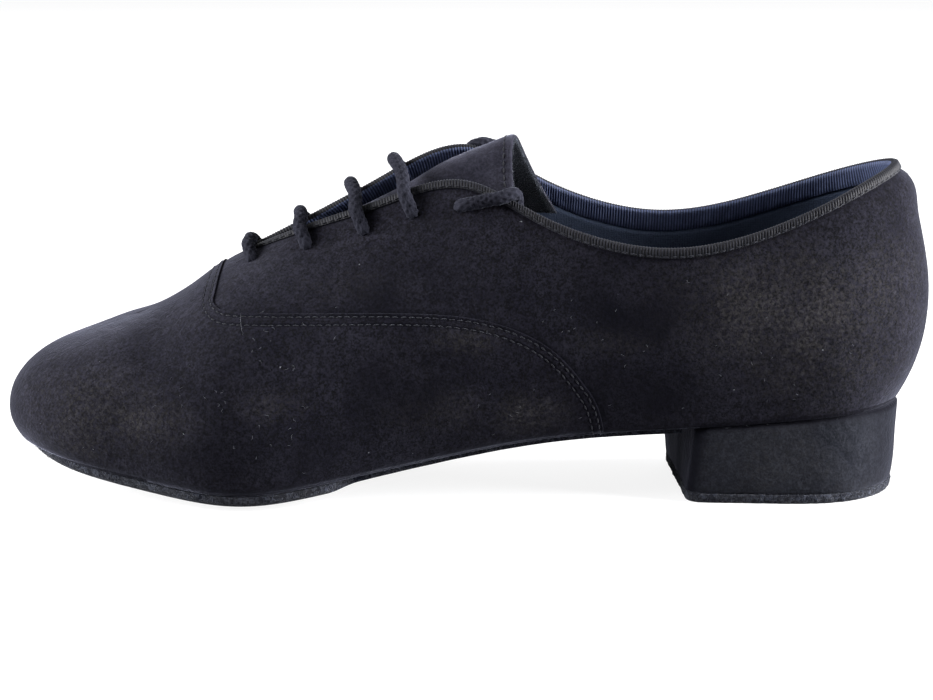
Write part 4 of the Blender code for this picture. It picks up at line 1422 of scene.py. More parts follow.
@dataclass(frozen=True)
class Nubuck:
    """Black nubuck leather: matt, faintly blue, with a short brushed nap."""

    effects: Effects
    dark: Colour = (0.0032, 0.0031, 0.0054)
    light: Colour = (0.0080, 0.0078, 0.0116)
    dust: Colour = (0.062, 0.058, 0.056)
    lint: Colour = (0.26, 0.27, 0.30)
    shade: Colour = (0.0015, 0.0015, 0.0030)
    sheen: float = 0.325
    sheen_tint: Colour = (0.50, 0.52, 0.68)
    sheen_spread: float = 0.34
    gloss: float = 0.03
    nap_bump: float = 0.5
    grain: tuple[float, float] = (0.25, 1.95)
    dusty: float = 1.0
    reads_columns: bool = True
    reads_shade: bool = False

    def material(self, name: str) -> bpy.types.Material:
        """The finished material.

        Args:
            name: Its name.

        Returns:
            A new material.
        """
        material, board, shader = new_material(name)
        place = board.place()
        nap = board.group(self.effects.nap, Place=place, Fine=2600.0, Broad=48.0)
        specks = board.group(self.effects.lint, Place=place, Scale=300.0, Share=0.10)
        tone = board.mix(nap.outputs["Blotch"], self.dark, self.light)
        grain = board.between(nap.outputs["Grain"], 0.0, 1.0, *self.grain)
        grey = board.add("ShaderNodeCombineColor")
        for socket in grey.inputs[:3]:
            board.feed(socket, grain)
        tone = board.mix(1.0, tone, grey.outputs[0], "MULTIPLY")
        broken = board.between(board.noise(place, 820.0, 5.0, 0.75, 0.6), 0.40, 0.70)
        if self.reads_columns:
            where = board.math("MULTIPLY", board.column("dust"), self.dusty)
        else:
            where = board.between(board.noise(place, 38.0, 3.0), 0.45, 0.75, 0.0, 0.5 * self.dusty)
        cover = board.math("ADD", board.math("MULTIPLY", broken, 0.50), 0.05)
        soiled = board.math("MULTIPLY", where, cover, True)
        tone = board.mix(soiled, tone, self.dust)
        height = nap.outputs["Height"]
        if self.reads_columns:
            # Painted shade from the listed shade patches, mixed towards the shade colour.
            tone = board.mix(board.math("MULTIPLY", board.column("patch_shade"), 0.76), tone, self.shade)
            first, second = STITCH_ROWS
            groove = board.group(
                self.effects.groove,
                Distance=board.column("edge"),
                First=first,
                Second=second,
                Width=0.0008,
            )
            pressed = groove.outputs["Hollow"]
            # Painted shade beside edges and in the pressed stitch grooves, mixed towards the shade colour;
            # the grooves also lower the bump height.
            shaded = board.math("MAXIMUM", board.column("hollow"), board.math("MULTIPLY", pressed, 0.75))
            tone = board.mix(shaded, tone, self.shade)
            height = board.math("SUBTRACT", height, board.math("MULTIPLY", pressed, 2.4))
        # Painted shade from the mesh's shade column, as on the heel.
        if self.reads_shade:
            tone = board.mix(board.column("shade"), tone, self.shade)
        tone = board.mix(board.math("MULTIPLY", specks.outputs["Mask"], 0.5), tone, self.lint)
        board.feed(shader.inputs["Base Color"], tone)
        rough = board.between(nap.outputs["Grain"], 0.0, 1.0, 0.84, 0.98)
        board.feed(shader.inputs["Roughness"], rough)
        set_finish(shader, self.gloss, self.sheen, self.sheen_spread, self.sheen_tint)
        fine = board.bump(Strength=self.nap_bump, Distance=0.00014, Height=height)
        soft = board.bump(Strength=0.25, Distance=0.0008, Height=nap.outputs["Blotch"], Normal=fine)
        board.feed(shader.inputs["Normal"], soft)
        return material


@dataclass(frozen=True)
class Textile:
    """A black textile: lining, tape, thread or cord."""

    effects: Effects
    dark: Colour = (0.0050, 0.0065, 0.0100)
    light: Colour = (0.0130, 0.0160, 0.0220)
    threads: float = 1300.0
    fuzz: float = 0.5
    bump: float = 0.6
    depth: float = 0.00015
    roughness: float = 0.85
    sheen: float = 0.35
    sheen_tint: Colour = (0.60, 0.65, 0.80)
    gloss: float = 0.2
    ribbed: bool = False
    rib_shade: float = 0.97
    shade_between_ribs: Colour = (0.0015, 0.0015, 0.0025)
    sheen_spread: float = 0.3

    def material(self, name: str) -> bpy.types.Material:
        """The finished material.

        Args:
            name: Its name.

        Returns:
            A new material.
        """
        material, board, shader = new_material(name)
        place = board.place()
        weave = board.group(self.effects.weave, Place=place, Threads=self.threads, Fuzz=self.fuzz)
        height = weave.outputs["Height"]
        tone = board.mix(board.between(height, 0.25, 0.75), self.dark, self.light)
        worn = board.between(weave.outputs["Shade"], 0.0, 1.0, 0.0, 0.35)
        tone = board.mix(worn, tone, self.light)
        # Painted shade in the grooves between the ribs.
        if self.ribbed:
            groove = board.between(board.column("rib"), 0.1, 0.85, self.rib_shade, 0.0)
            tone = board.mix(groove, tone, self.shade_between_ribs)
        board.feed(shader.inputs["Base Color"], tone)
        smooth = board.between(height, 0.0, 1.0, self.roughness + 0.08, self.roughness - 0.05)
        board.feed(shader.inputs["Roughness"], smooth)
        set_finish(shader, self.gloss, self.sheen, self.sheen_spread, self.sheen_tint)
        raised = board.bump(Strength=self.bump, Distance=self.depth, Height=height)
        board.feed(shader.inputs["Normal"], raised)
        return material


@dataclass(frozen=True)
class Suede:
    """Dark chrome suede of the sole: rough, fibrous and a little dusty."""

    effects: Effects
    dark: Colour = (0.0025, 0.0032, 0.0072)
    light: Colour = (0.0265, 0.0305, 0.0460)
    dust: Colour = (0.080, 0.078, 0.078)
    bump: float = 1.0
    gloss: float = 0.12
    sheen: float = 0.12
    sheen_spread: float = 0.35
    sheen_tint: Colour = (0.70, 0.72, 0.80)

    def material(self, name: str) -> bpy.types.Material:
        """The finished material.

        Args:
            name: Its name.

        Returns:
            A new material.
        """
        material, board, shader = new_material(name)
        place = board.place()
        nap = board.group(self.effects.nap, Place=place, Fine=1900.0, Broad=90.0)
        fibre = board.between(board.noise(place, 760.0, 4.0, 0.7, 0.8), 0.42, 0.66)
        tone = board.mix(fibre, self.dark, self.light)
        dusty = board.math("MULTIPLY", nap.outputs["Blotch"], 0.16)
        tone = board.mix(dusty, tone, self.dust)
        board.feed(shader.inputs["Base Color"], tone)
        board.feed(shader.inputs["Roughness"], board.between(fibre, 0.0, 1.0, 0.98, 0.90))
        set_finish(shader, self.gloss, self.sheen, self.sheen_spread, self.sheen_tint)
        raised = board.bump(Strength=self.bump, Distance=0.00035, Height=fibre)
        board.feed(shader.inputs["Normal"], raised)
        return material


@dataclass
class Finishes:
    """Every material of the shoe, by what it covers."""

    effects: Effects
    upper: bpy.types.Material = field(init=False)
    crease: bpy.types.Material = field(init=False)
    cover: bpy.types.Material = field(init=False)
    tongue: bpy.types.Material = field(init=False)
    lining: bpy.types.Material = field(init=False)
    fleece: bpy.types.Material = field(init=False)
    tape: bpy.types.Material = field(init=False)
    tape_inside: bpy.types.Material = field(init=False)
    thread: bpy.types.Material = field(init=False)
    lace: bpy.types.Material = field(init=False)
    footbed: bpy.types.Material = field(init=False)
    sole: bpy.types.Material = field(init=False)
    lint: bpy.types.Material = field(init=False)

    def __post_init__(self) -> None:
        """Makes the materials."""
        made = self.effects
        self.upper = Nubuck(made).material("Nubuck of the upper")
        # A copy of the upper's nubuck with its sheen taken down: painted shade where the upper turns under
        # and on the vamp's turned edge.
        self.crease = Nubuck(made, sheen=0.05).material("Nubuck dimmed as painted shade")
        self.cover = Nubuck(
            made,
            dark=(0.0078, 0.0085, 0.0118),
            light=(0.0145, 0.0155, 0.0198),
            sheen=0.33,
            grain=(0.60, 1.40),
            dusty=0.6,
            reads_columns=False,
            reads_shade=True,
        ).material("Nubuck of the heel")
        # A lighter copy of the upper's nubuck: painted light on the tongue, which faces up.
        self.tongue = Nubuck(
            made,
            dark=(0.0085, 0.0084, 0.0130),
            light=(0.0170, 0.0168, 0.0238),
            grain=(0.60, 1.40),
            dusty=0.25,
            reads_columns=False,
        ).material("Nubuck of the tongue, with painted light")
        self.lining = Textile(
            made,
            dark=(0.0074, 0.0118, 0.0235),
            light=(0.0270, 0.0385, 0.0680),
            threads=900.0,
            fuzz=0.75,
            bump=0.9,
            depth=0.0003,
        ).material("Lining of the quarters")
        self.fleece = Textile(
            made, threads=700.0, fuzz=0.9, bump=1.0, depth=0.0006, sheen=0.6
        ).material("Fleece under the tongue")
        self.tape = Textile(
            made,
            dark=(0.0016, 0.0017, 0.0034),
            light=(0.0098, 0.0105, 0.0165),
            threads=2600.0,
            fuzz=0.45,
            depth=0.00010,
            roughness=0.62,
            sheen=0.06,
            gloss=0.14,
            ribbed=True,
        ).material("Ribbed tape")
        # A lighter, bluer copy of the tape: painted light on the inside of the fold, which faces the front.
        self.tape_inside = Textile(
            made,
            dark=(0.0125, 0.0175, 0.0400),
            light=(0.0600, 0.0780, 0.1550),
            threads=2600.0,
            fuzz=0.45,
            depth=0.00010,
            roughness=0.70,
            sheen=0.30,
            ribbed=True,
            rib_shade=0.70,
        ).material("Ribbed tape inside, with painted light")
        self.thread = Textile(
            made,
            dark=(0.0018, 0.0018, 0.0034),
            light=(0.0070, 0.0072, 0.0110),
            threads=3200.0,
            roughness=0.7,
            sheen=0.15,
            gloss=0.15,
        ).material("Sewing thread")
        self.lace = Textile(
            made,
            dark=(0.0012, 0.0012, 0.0026),
            light=(0.0175, 0.0181, 0.0262),
            threads=2400.0,
            fuzz=0.55,
            depth=0.00020,
            roughness=0.95,
            sheen=0.08,
            gloss=0.06,
        ).material("Braided lace")
        self.footbed = Textile(
            made,
            dark=(0.012, 0.012, 0.014),
            light=(0.024, 0.024, 0.027),
            threads=800.0,
            fuzz=0.7,
            depth=0.0002,
        ).material("Footbed")
        self.sole = Suede(made).material("Suede of the sole")
        self.lint = Textile(
            made, dark=(0.035, 0.036, 0.043), light=(0.085, 0.088, 0.100), threads=4000.0, sheen=0.2
        ).material("Pale lint")


@dataclass
class Upper:
    """Vamp and quarters: the hollow wall, and the vamp's edge lapped over the quarters."""

    builder: Builder
    skin: Skin
    seam: SeamLine
    finishes: Finishes
    slot: str = "upper_nubuck"
    edge_out: tuple[float, ...] = (0.00012, 0.00022)
    edge_rise: tuple[float, ...] = (0.00042, -0.00010)
    rise_over: float = 0.0030
    vamp_foot: float = 0.00015
    vamp_sunk: float = 0.0003
    toe_fullness: float = 0.0020
    toe_flatter: float = 0.0012
    toe_drawn_down: float = 0.0012
    heel_fullness: float = 0.0021
    under_ahead_of: float = 3.0
    under_behind: float = 9.3
    seam_distance: Array = field(init=False)
    seam_growth: Array = field(init=False)
    dust: Array = field(init=False)
    # The next two hold painted shade, by (column, row).
    patch_shade: Array = field(init=False)
    hollow: Array = field(init=False)

    def __post_init__(self) -> None:
        """Shapes the skin and finds what lies where on it."""
        self._take_creases()
        self.seam_distance, self.seam_growth = self.seam.distance(self.skin.points)
        self.dust = self._dust()
        self.patch_shade = self._patch_shade()
        self.hollow = self._edge_shade()

    def _take_creases(self) -> None:
        """Presses the creases and a slight unevenness into the skin."""
        skin, last = self.skin, self.skin.last
        relief = np.zeros(skin.points.shape[:2])
        flat = skin.points.reshape(-1, 3)
        for crease in CREASES:
            stations = np.array([s for s, _ in crease.line])
            rays, lengths = last.rays(stations)
            knots = []
            for i, (_, share) in enumerate(crease.line):
                at = share * lengths[i, -1]
                knots.append(at_lengths(rays[i], lengths[i], at))
            line = smooth_route(np.array(knots), 0.0015)
            along = np.linspace(0, 1, len(line))
            strength = np.sin(math.pi * np.clip(along * 0.9 + 0.05, 0, 1)) ** 0.7
            best = np.full(len(flat), 1.0)
            power = np.zeros(len(flat))
            for point, amount in zip(line, strength):
                away = np.linalg.norm(flat - point, axis=1)
                nearer = away < best
                best[nearer] = away[nearer]
                power[nearer] = amount
            relief -= (bell(best, crease.width) * power).reshape(relief.shape) * crease.depth
        points, height, depth = skin.points, skin.height, skin.depth
        uneven = Waves(7, 0.055).at(points) * 0.00022 + Waves(8, 0.020).at(points) * 0.00006
        around = self.toe_fullness * bell(skin.stations, 1.5)[:, None]
        full_toe = around * bell(height - 0.0055, 0.0066) * smooth_step(height, 0.0, 0.003)
        over = self.toe_flatter * bell(skin.stations, 1.8)[:, None]
        full_toe -= over * smooth_step(height, 0.010, 0.024)
        back = self.heel_fullness * bell(LAST_STATION - np.abs(skin.stations), 1.1)[:, None]
        full_back = back * bell(depth - 0.0085, 0.0068) * smooth_step(depth, 0.0012, 0.005)
        rise = smooth_step(skin.height, 0.004, 0.016)
        calm = smooth_step(skin.depth, 0.001, 0.010)
        on_vamp = (np.abs(skin.stations) < FIRST_RIM_STATION)[:, None]
        self.skin.press((relief + uneven) * rise * np.where(on_vamp, 1.0, calm) + full_toe + full_back)
        toe = self.toe_drawn_down * bell(skin.stations, 2.6)[:, None]
        drawn = toe * (1 - smooth_step(skin.height, 0.0, 0.007))
        skin.points[:, skin.first_wall_row :, 2] -= drawn[:, skin.first_wall_row :]

    def _dust(self) -> Array:
        """How dusty each point is, from the listed patches.

        Returns:
            Shares by (column, row).
        """
        points = self.skin.points
        drift = 0.92 + 0.16 * Waves(21, 0.018).at(points)
        return np.clip(np.maximum(self._patched(PATCHES), 0.08) * drift, 0, 1)

    def _patch_shade(self) -> Array:
        """How much painted shade each point gets, from its listed patches."""
        drift = 0.85 + 0.30 * Waves(22, 0.024).at(self.skin.points)
        return np.clip(self._patched(SHADE_PATCHES) * drift, 0, 1)

    def _patched(self, patches: Sequence[Patch]) -> Array:
        """The strongest of these patches at each point.

        Args:
            patches: The patches.

        Returns:
            Shares by (column, row).
        """
        size = self.skin.last.sizes
        points = self.skin.points
        total = np.zeros(points.shape[:2])
        for patch in patches:
            x = (points[..., 0] - patch.x * size.length) / (patch.wide * size.length)
            z = (points[..., 2] - patch.z * size.instep_height) / (patch.high * size.length)
            total = np.maximum(total, patch.strength * np.exp(-(x**2 + z**2)))
        return total

    def _edge_shade(self) -> Array:
        """How much painted shade each point gets: beside the seam, under the tape and low at the feather
        line.

        Returns:
            Shares by (column, row).
        """
        size = self.skin.last.sizes
        beside = bell(np.minimum(self.seam_distance, 0), 0.0009) * (self.seam_distance < 0)
        under = bell(self.skin.depth - size.tape_outside, 0.0009)
        behind = (np.abs(self.skin.stations) > FIRST_RIM_STATION)[:, None]
        foot = bell(np.maximum(self.skin.height, 0), 0.0016)
        return np.clip(0.7 * beside + 0.6 * under * behind + 0.8 * foot, 0, 1)

    def _wall(self) -> Array:
        """The wall's thickness at each point: full, or skived under the tape.

        Returns:
            Thicknesses by (column, row).
        """
        size = self.skin.last.sizes
        bound = (np.abs(self.skin.stations) >= FIRST_RIM_STATION)[:, None]
        skived = smooth_step(self.skin.depth, size.tape_inside, size.tape_inside + 0.0012)
        thick = size.skived_wall + (size.wall - size.skived_wall) * skived
        return np.where(bound, thick, size.wall)

    def build(self) -> None:
        """Makes the hollow wall and the vamp."""
        self._build_wall()
        self._build_vamp()

    def _build_wall(self) -> None:
        """The whole upper: nubuck outside, lining inside, open at the throat, collar and sole."""
        skin = self.skin
        outer = skin.points.reshape(-1, 3)
        inner = (skin.points - skin.normals * self._wall()[..., None]).reshape(-1, 3)
        front = skin.faces(range(skin.top))
        front, mixes = self._with_eyelets(front, outer)
        outer, inner = mixed(outer, mixes), mixed(inner, mixes)
        count = len(outer)
        back, edges = shell(front, count)
        # Dust, and painted shade from the shade patches and the edges, for the materials to read.
        known = {"dust": self.dust, "patch_shade": self.patch_shade, "hollow": self.hollow}
        columns = {k: np.tile(mixed(values.reshape(-1), mixes), 2) for k, values in known.items()}
        columns["edge"] = np.full(2 * count, -1.0)
        lays = [(Lay.DRAWN_UNDER if self._drawn_under(face) else Lay.OUTSIDE).value for face in front]
        lays += [Lay.INSIDE.value] * len(back) + [Lay.OUTSIDE.value] * len(edges)
        self.builder.piece(
            "upper_wall",
            np.concatenate([outer, inner]),
            front + back + edges,
            [self.finishes.upper, self.finishes.lining, self.finishes.crease],
            self.slot,
            ("upper",),
            lays,
            columns,
        )
        LOG.info("upper_wall: %d eyelets punched", len(EYELETS) * len(Side))

    def _drawn_under(self, face: Face) -> bool:
        """Whether a face of the skin turns under, just over the sole's toe or the heel.

        Args:
            face: The face's vertex numbers.

        Returns:
            Whether it does.
        """
        skin = self.skin
        rows = skin.top + 1
        if max(face) >= skin.points.shape[0] * rows:
            return False
        low = max(v % rows for v in face) <= skin.first_wall_row + 2
        station = abs(skin.stations[min(face) // rows])
        return low and (station < self.under_ahead_of or station > self.under_behind)

    def _with_eyelets(self, faces: list[Face], points: Array) -> tuple[list[Face], Mixes]:
        """Faces with the eyelets cut out of them.

        Args:
            faces: The wall's outer faces.
            points: Its outer points.

        Returns:
            The faces that are left, and what the cut vertices are mixed from.
        """
        throat = Throat(self.skin.last)
        away = np.full(len(points), 1.0)
        for share in EYELETS:
            for side in Side:
                middle, normal, _ = throat.eyelet(share, side)
                offset = points - middle
                along = offset @ normal
                apart = np.linalg.norm(offset - along[:, None] * normal, axis=1)
                apart = np.where(np.abs(along) < 0.006, apart, 1.0)
                away = np.minimum(away, apart)
        return keep_where(faces, away - throat.eyelet_radius)

    def _build_vamp(self) -> None:
        """The vamp, a step above the quarters, with its edge turned down to them."""
        skin = self.skin
        step = skin.last.sizes.vamp_step
        first = skin.first_wall_row
        faces, mixes = keep_where(skin.faces(range(first, skin.top)), self.seam_distance.reshape(-1))
        risen = smooth_step(skin.height, 0.0, self.rise_over)
        rise = step * risen - self.vamp_foot * (1 - risen)
        base = mixed(skin.points.reshape(-1, 3), mixes)
        normals = unit(mixed(skin.normals.reshape(-1, 3), mixes))
        growth = mixed(self.seam_growth.reshape(-1, 3), mixes)
        lift = mixed(rise.reshape(-1), mixes)
        outer = base + normals * lift[:, None]
        inner = base - normals * self.vamp_sunk
        total = len(base)
        cut = range(total - len(mixes), total)
        points = [outer, inner]
        out = -unit(growth - normals * (growth * normals).sum(axis=1, keepdims=True))
        made = list(faces) + [tuple(total + v for v in face[::-1]) for face in faces]
        number = 2 * total
        rings: list[dict[int, int]] = [{v: v for v in range(total)}]
        for away, height in zip(self.edge_out, self.edge_rise):
            ring = {}
            new = []
            for vertex in cut:
                share = np.clip(lift[vertex] / step, 0.0, 1.0)
                new.append(base[vertex] + out[vertex] * away + normals[vertex] * height * share)
                ring[vertex] = number
                number += 1
            points.append(np.array(new))
            rings.append(ring)
        rings.append({v: total + v for v in range(total)})
        for a, b in open_edges(faces):
            if a in cut and b in cut:
                for near, far in zip(rings, rings[1:]):
                    made.append((near[b], near[a], far[a], far[b]))
            else:
                made.append((b, a, total + a, total + b))
        made = self._close_ends(made)
        source = np.concatenate([np.arange(total)] * 2 + [np.array(cut)] * len(self.edge_out))
        dust = mixed(self.dust.reshape(-1), mixes)[source]
        # Painted shade: the vamp's turned edge and its foot by the feather line are darkened through the
        # hollow column.
        turned = np.concatenate([np.zeros(2 * total), np.full(len(source) - 2 * total, 0.9)])
        foot = mixed(bell(np.maximum(skin.height, 0), 0.0020).reshape(-1), mixes)[source]
        self.builder.piece(
            "vamp",
            np.concatenate(points),
            made,
            [self.finishes.upper, self.finishes.crease],
            self.slot,
            lays=[int(self._drawn_under(face) or max(face) >= 2 * total) for face in made],
            columns={
                "dust": dust,
                "patch_shade": mixed(self.patch_shade.reshape(-1), mixes)[source],
                "hollow": np.maximum(turned, 0.75 * foot),
                "edge": mixed(self.seam_distance.reshape(-1), mixes)[source],
            },
        )

    @staticmethod
    def _close_ends(faces: list[Face]) -> list[Face]:
        """Adds the small faces that close the edge's open ends at the feather line.

        Args:
            faces: The edge's faces.

        Returns:
            The same faces with the small ones added.
        """
        added = []
        for line in chains([(b, a) for a, b in open_edges(faces)]):
            if len(line) > 3 and line[0] == line[-1]:
                added.append(tuple(line[:-1]))
        return faces + added

    def seam_row(self, inside: float, rise: float) -> list[tuple[Array, Array]]:
        """Lines on the vamp at this distance inside its edge.

        Args:
            inside: Distance from the edge, in side view.
            rise: Height above the skin.

        Returns:
            Pairs of points and normals, one for each line.
        """
        skin = self.skin
        first = skin.first_wall_row
        values = self.seam_distance.reshape(-1) - inside
        faces, mixes = keep_where(skin.faces(range(first, skin.top)), values)
        total = len(values) + len(mixes)
        cut = set(range(len(values), total))
        points = mixed(skin.points.reshape(-1, 3), mixes)
        normals = unit(mixed(skin.normals.reshape(-1, 3), mixes))
        edges = [(a, b) for a, b in open_edges(faces) if a in cut and b in cut]
        rows = []
        for line in chains(edges):
            if len(line) > 8:
                rows.append((points[line] + normals[line] * rise, normals[line]))
        return rows


@dataclass
class Throat:
    """Where the eyelets lie and how a lace bar runs between a pair of them."""

    last: Last

    @property
    def eyelet_radius(self) -> float:
        """The eyelets' radius: the lace's, with a little room."""
        return self.last.sizes.lace_diameter / 2 + self.last.sizes.gap + 0.0001

    def eyelet(self, share: float, side: Side) -> tuple[Array, Array, Array]:
        """An eyelet's middle on the surface, its outward normal and its way up.

        Args:
            share: Its place along the shoe, in shoe lengths.
            side: The facing that it is in.

        Returns:
            Three vectors.
        """
        inset = self.last.sizes.eyelet_inset
        stations = np.linspace(FIRST_RIM_STATION, FIRST_RIM_STATION + 5, 21) * side.value
        columns = self.last.below_top(stations, np.array([inset, 1.6 * inset, 0.0]))
        places, lower, rims = columns[:, 0], columns[:, 1], columns[:, 2]
        order = np.argsort(places[:, 0])
        x = share * self.last.sizes.length

        def at(values: Array) -> Array:
            """Values at the eyelet's place."""
            return at_lengths(values[order], places[order, 0], x)

        middle = at(places)
        way_up = unit(at(rims) - at(lower))
        normal = unit(np.cross(at(np.gradient(places, axis=0)), way_up))
        if normal[1] * side.value < 0:
            normal = -normal
        return middle, normal, way_up

    def facing(self, x: float, side: Side, depths: Array) -> tuple[Array, Array]:
        """Points of a facing at one x, this far below its rim, and their outward normals.

        Args:
            x: Length along the shoe.
            side: The facing.
            depths: Distances below the rim, two or more.

        Returns:
            Points and unit normals, one for each depth.
        """
        stations = np.linspace(FIRST_RIM_STATION, FIRST_RIM_STATION + 6, 49) * side.value
        grid = self.last.below_top(stations, depths)
        square = unit(np.cross(np.gradient(grid, axis=0), np.gradient(grid, axis=1)))
        reference = np.array([0.0, side.value, 1.0])
        square = np.where((square @ reference)[..., None] < 0, -square, square)
        places, normals = np.empty((len(depths), 3)), np.empty((len(depths), 3))
        for j in range(len(depths)):
            order = np.argsort(grid[:, j, 0])
            places[j] = at_lengths(grid[order, j], grid[order, j, 0], x)
            normals[j] = at_lengths(square[order, j], grid[order, j, 0], x)
        return places, unit(normals)

    def over_facing(self, share: float, side: Side, lean: float) -> list[Array]:
        """Where a bar runs from its eyelet up over the facing to the bound rim.

        Args:
            share: The eyelet's place in shoe lengths.
            side: The facing.
            lean: How far towards the toe the bar has moved at the rim.

        Returns:
            Points of the lace's middle.
        """
        size = self.last.sizes
        x = share * size.length
        radius = size.lace_diameter / 2
        on_tape = radius + size.gap + size.tape_thickness
        depths = np.array([size.eyelet_inset, 0.0072, 0.0056, 0.0038, 0.0018, 0.0])
        rises = (0.0, 0.45 * radius, 0.98 * radius, on_tape * 0.95, on_tape * 1.02, on_tape)
        hole, hole_normal = self.facing(x, side, depths)
        route = [hole[0] - hole_normal[0] * (size.wall + 0.4 * size.gap)]
        for j, rise in enumerate(rises):
            share_up = 1 - depths[j] / depths[0]
            places, normals = self.facing(x + lean * share_up, side, depths)
            way = normals[j]
            if j == len(rises) - 1:
                way = unit(way + np.array([0.0, 0.0, 0.8]))
            route.append(places[j] + way * rise)
        return route

    def bar(self, share: float) -> Array:
        """The whole route of one lace bar.

        Args:
            share: Its place along the facings.

        Returns:
            Points along its middle.
        """
        size = self.last.sizes
        x = np.array([share * size.length])
        eyelet = self.eyelet(share, Side.OUTER)[0]
        near_rim = self.facing(x[0], Side.OUTER, np.array([0.0, 0.001]))[0][0]
        far_rim = self.facing(x[0], Side.INNER, np.array([0.0, 0.001]))[0][0]
        near_lean = size.lace_lean * (near_rim[2] - eyelet[2])
        far_lean = size.lace_lean * (far_rim[2] - eyelet[2]) + 0.06 * (near_rim[1] - far_rim[1])
        outer = self.over_facing(share, Side.OUTER, near_lean)
        inner = self.over_facing(share, Side.INNER, far_lean)
        return smooth_route(outer + inner[::-1], 0.00035)

    def end(self, side: Side, over: float, depth: float, below: Array, upright: float) -> Array:
        """The route of a loose end: out of the top eyelet, back along the rim and down inside.

        Args:
            side: The facing that it comes out of.
            over: The station where it is over the rim.
            depth: How far it hangs inside.
            below: How far under the rim it lies, at five places on its way there.
            upright: How far it leans over the rim's top in place of its side.

        Returns:
            Points of the lace's middle.
        """
        size = self.last.sizes
        radius = size.lace_diameter / 2
        tape_depth = size.skived_wall + 2 * size.gap + size.tape_thickness
        clear = radius + size.gap + size.tape_thickness
        sign = side.value
        x = EYELETS[-1] * size.length
        rim = self.last.top_line(sign * over)[0]
        backs = (x - rim[0]) * np.array([0.0, 0.09, 0.30, 0.56, 0.78])
        rises = (0.0, 0.70 * radius, 1.00 * radius, radius + 0.0005, clear)
        hole, hole_normal = self.facing(x, side, below)
        route = [hole[0] - hole_normal[0] * (size.wall + 0.4 * size.gap)]
        for j, rise in enumerate(rises):
            places, normals = self.facing(x - backs[j], side, below)
            tilt = np.array([0.0, 0.0, upright * (1 - below[j] / size.eyelet_inset)])
            route.append(places[j] + unit(normals[j] + tilt) * rise)
        inward = np.array([0.0, -sign, 0.0])
        inside = radius + tape_depth + size.gap
        route.append(rim + inward * tape_depth * 0.3 + np.array([0.0, 0.0, clear * 1.05]))
        route.append(rim + inward * (inside + size.gap) - np.array([0.0010, 0.0, clear * 0.5]))
        for drop in (0.4, 0.7, 1.0):
            fall = np.array([-0.001 - 0.002 * drop, 0.0, -clear * 0.5 - depth * drop])
            route.append(rim + inward * (inside + 3 * size.gap) + fall)
        return smooth_route(route, 0.00035)


@dataclass
class Lacing:
    """One round braided lace: four straight bars and two loose ends."""

    builder: Builder
    throat: Throat
    finishes: Finishes
    slot: str = "lace_cord"
    around: int = 28
    strands: int = 6
    braid_length: float = 0.0088
    braid_depth: float = 0.19
    fullness: float = 1.10
    ends: tuple[tuple[str, Side, float, tuple[float, ...], float], ...] = (
        ("lace_end_outer", Side.OUTER, 7.62, (0.0084, 0.0082, 0.0068, 0.0040, 0.0014), 0.0),
        ("lace_end_inner", Side.INNER, 7.46, (0.0084, 0.0056, 0.0018, 0.0002, 0.0000), 1.2),
    )
    hanging: float = 0.0120

    def build(self) -> None:
        """Makes the bars and the ends."""
        for number, share in enumerate(EYELETS[:-1], 1):
            self._braid(f"lace_bar_{number}", self.throat.bar(share))
        origin = self.throat.last.origin
        for name, side, over, below, upright in self.ends:
            route = self.throat.end(side, over, self.hanging, np.array(below), upright)
            piece = self._braid(name, route)
            path = (route - origin)[::4]
            path = np.vstack([path, route[-1] - origin])

    def _braid(self, node: str, route: Array) -> bpy.types.Object:
        """A round braid along a route, with rounded ends.

        Args:
            node: The solid that it stands for.
            route: Points along its middle.

        Returns:
            The new object.
        """
        radius = self.throat.last.sizes.lace_diameter / 2
        way = unit(np.gradient(route, axis=0))
        across = np.empty_like(way)
        start = np.cross(way[0], [0.0, 0.0, 1.0])
        across[0] = unit(start if np.linalg.norm(start) > 0.1 else np.cross(way[0], [1.0, 0, 0]))
        for i in range(1, len(way)):
            moved = across[i - 1] - way[i] * (across[i - 1] @ way[i])
            across[i] = unit(moved)
        other = np.cross(way, across)
        run = run_lengths(route)[:, None]
        angle = np.linspace(0, 2 * math.pi, self.around, endpoint=False)[None]
        turn = 2 * math.pi * run / self.braid_length * self.strands / 2
        crossing = (np.cos(self.strands * angle + turn), np.cos(self.strands * angle - turn))
        relief = np.maximum(*crossing) - 0.35
        pulled = Waves(31, 0.004).at(route)[:, None] * 0.012
        r = radius * (self.fullness + self.braid_depth * relief + pulled)
        rings = (
            route[:, None]
            + across[:, None] * (np.cos(angle) * r)[..., None]
            + other[:, None] * (np.sin(angle) * r)[..., None]
        )
        for end in (0, -1):
            middle = rings[end].mean(axis=0)
            rings[end] = middle + (rings[end] - middle) * 0.72
        return self.builder.piece(
            node + "_braid",
            rings.reshape(-1, 3),
            tube_faces(*rings.shape[:2]),
            [self.finishes.lace],
            self.slot,
            (node,),
            sharp=math.radians(75),
        )


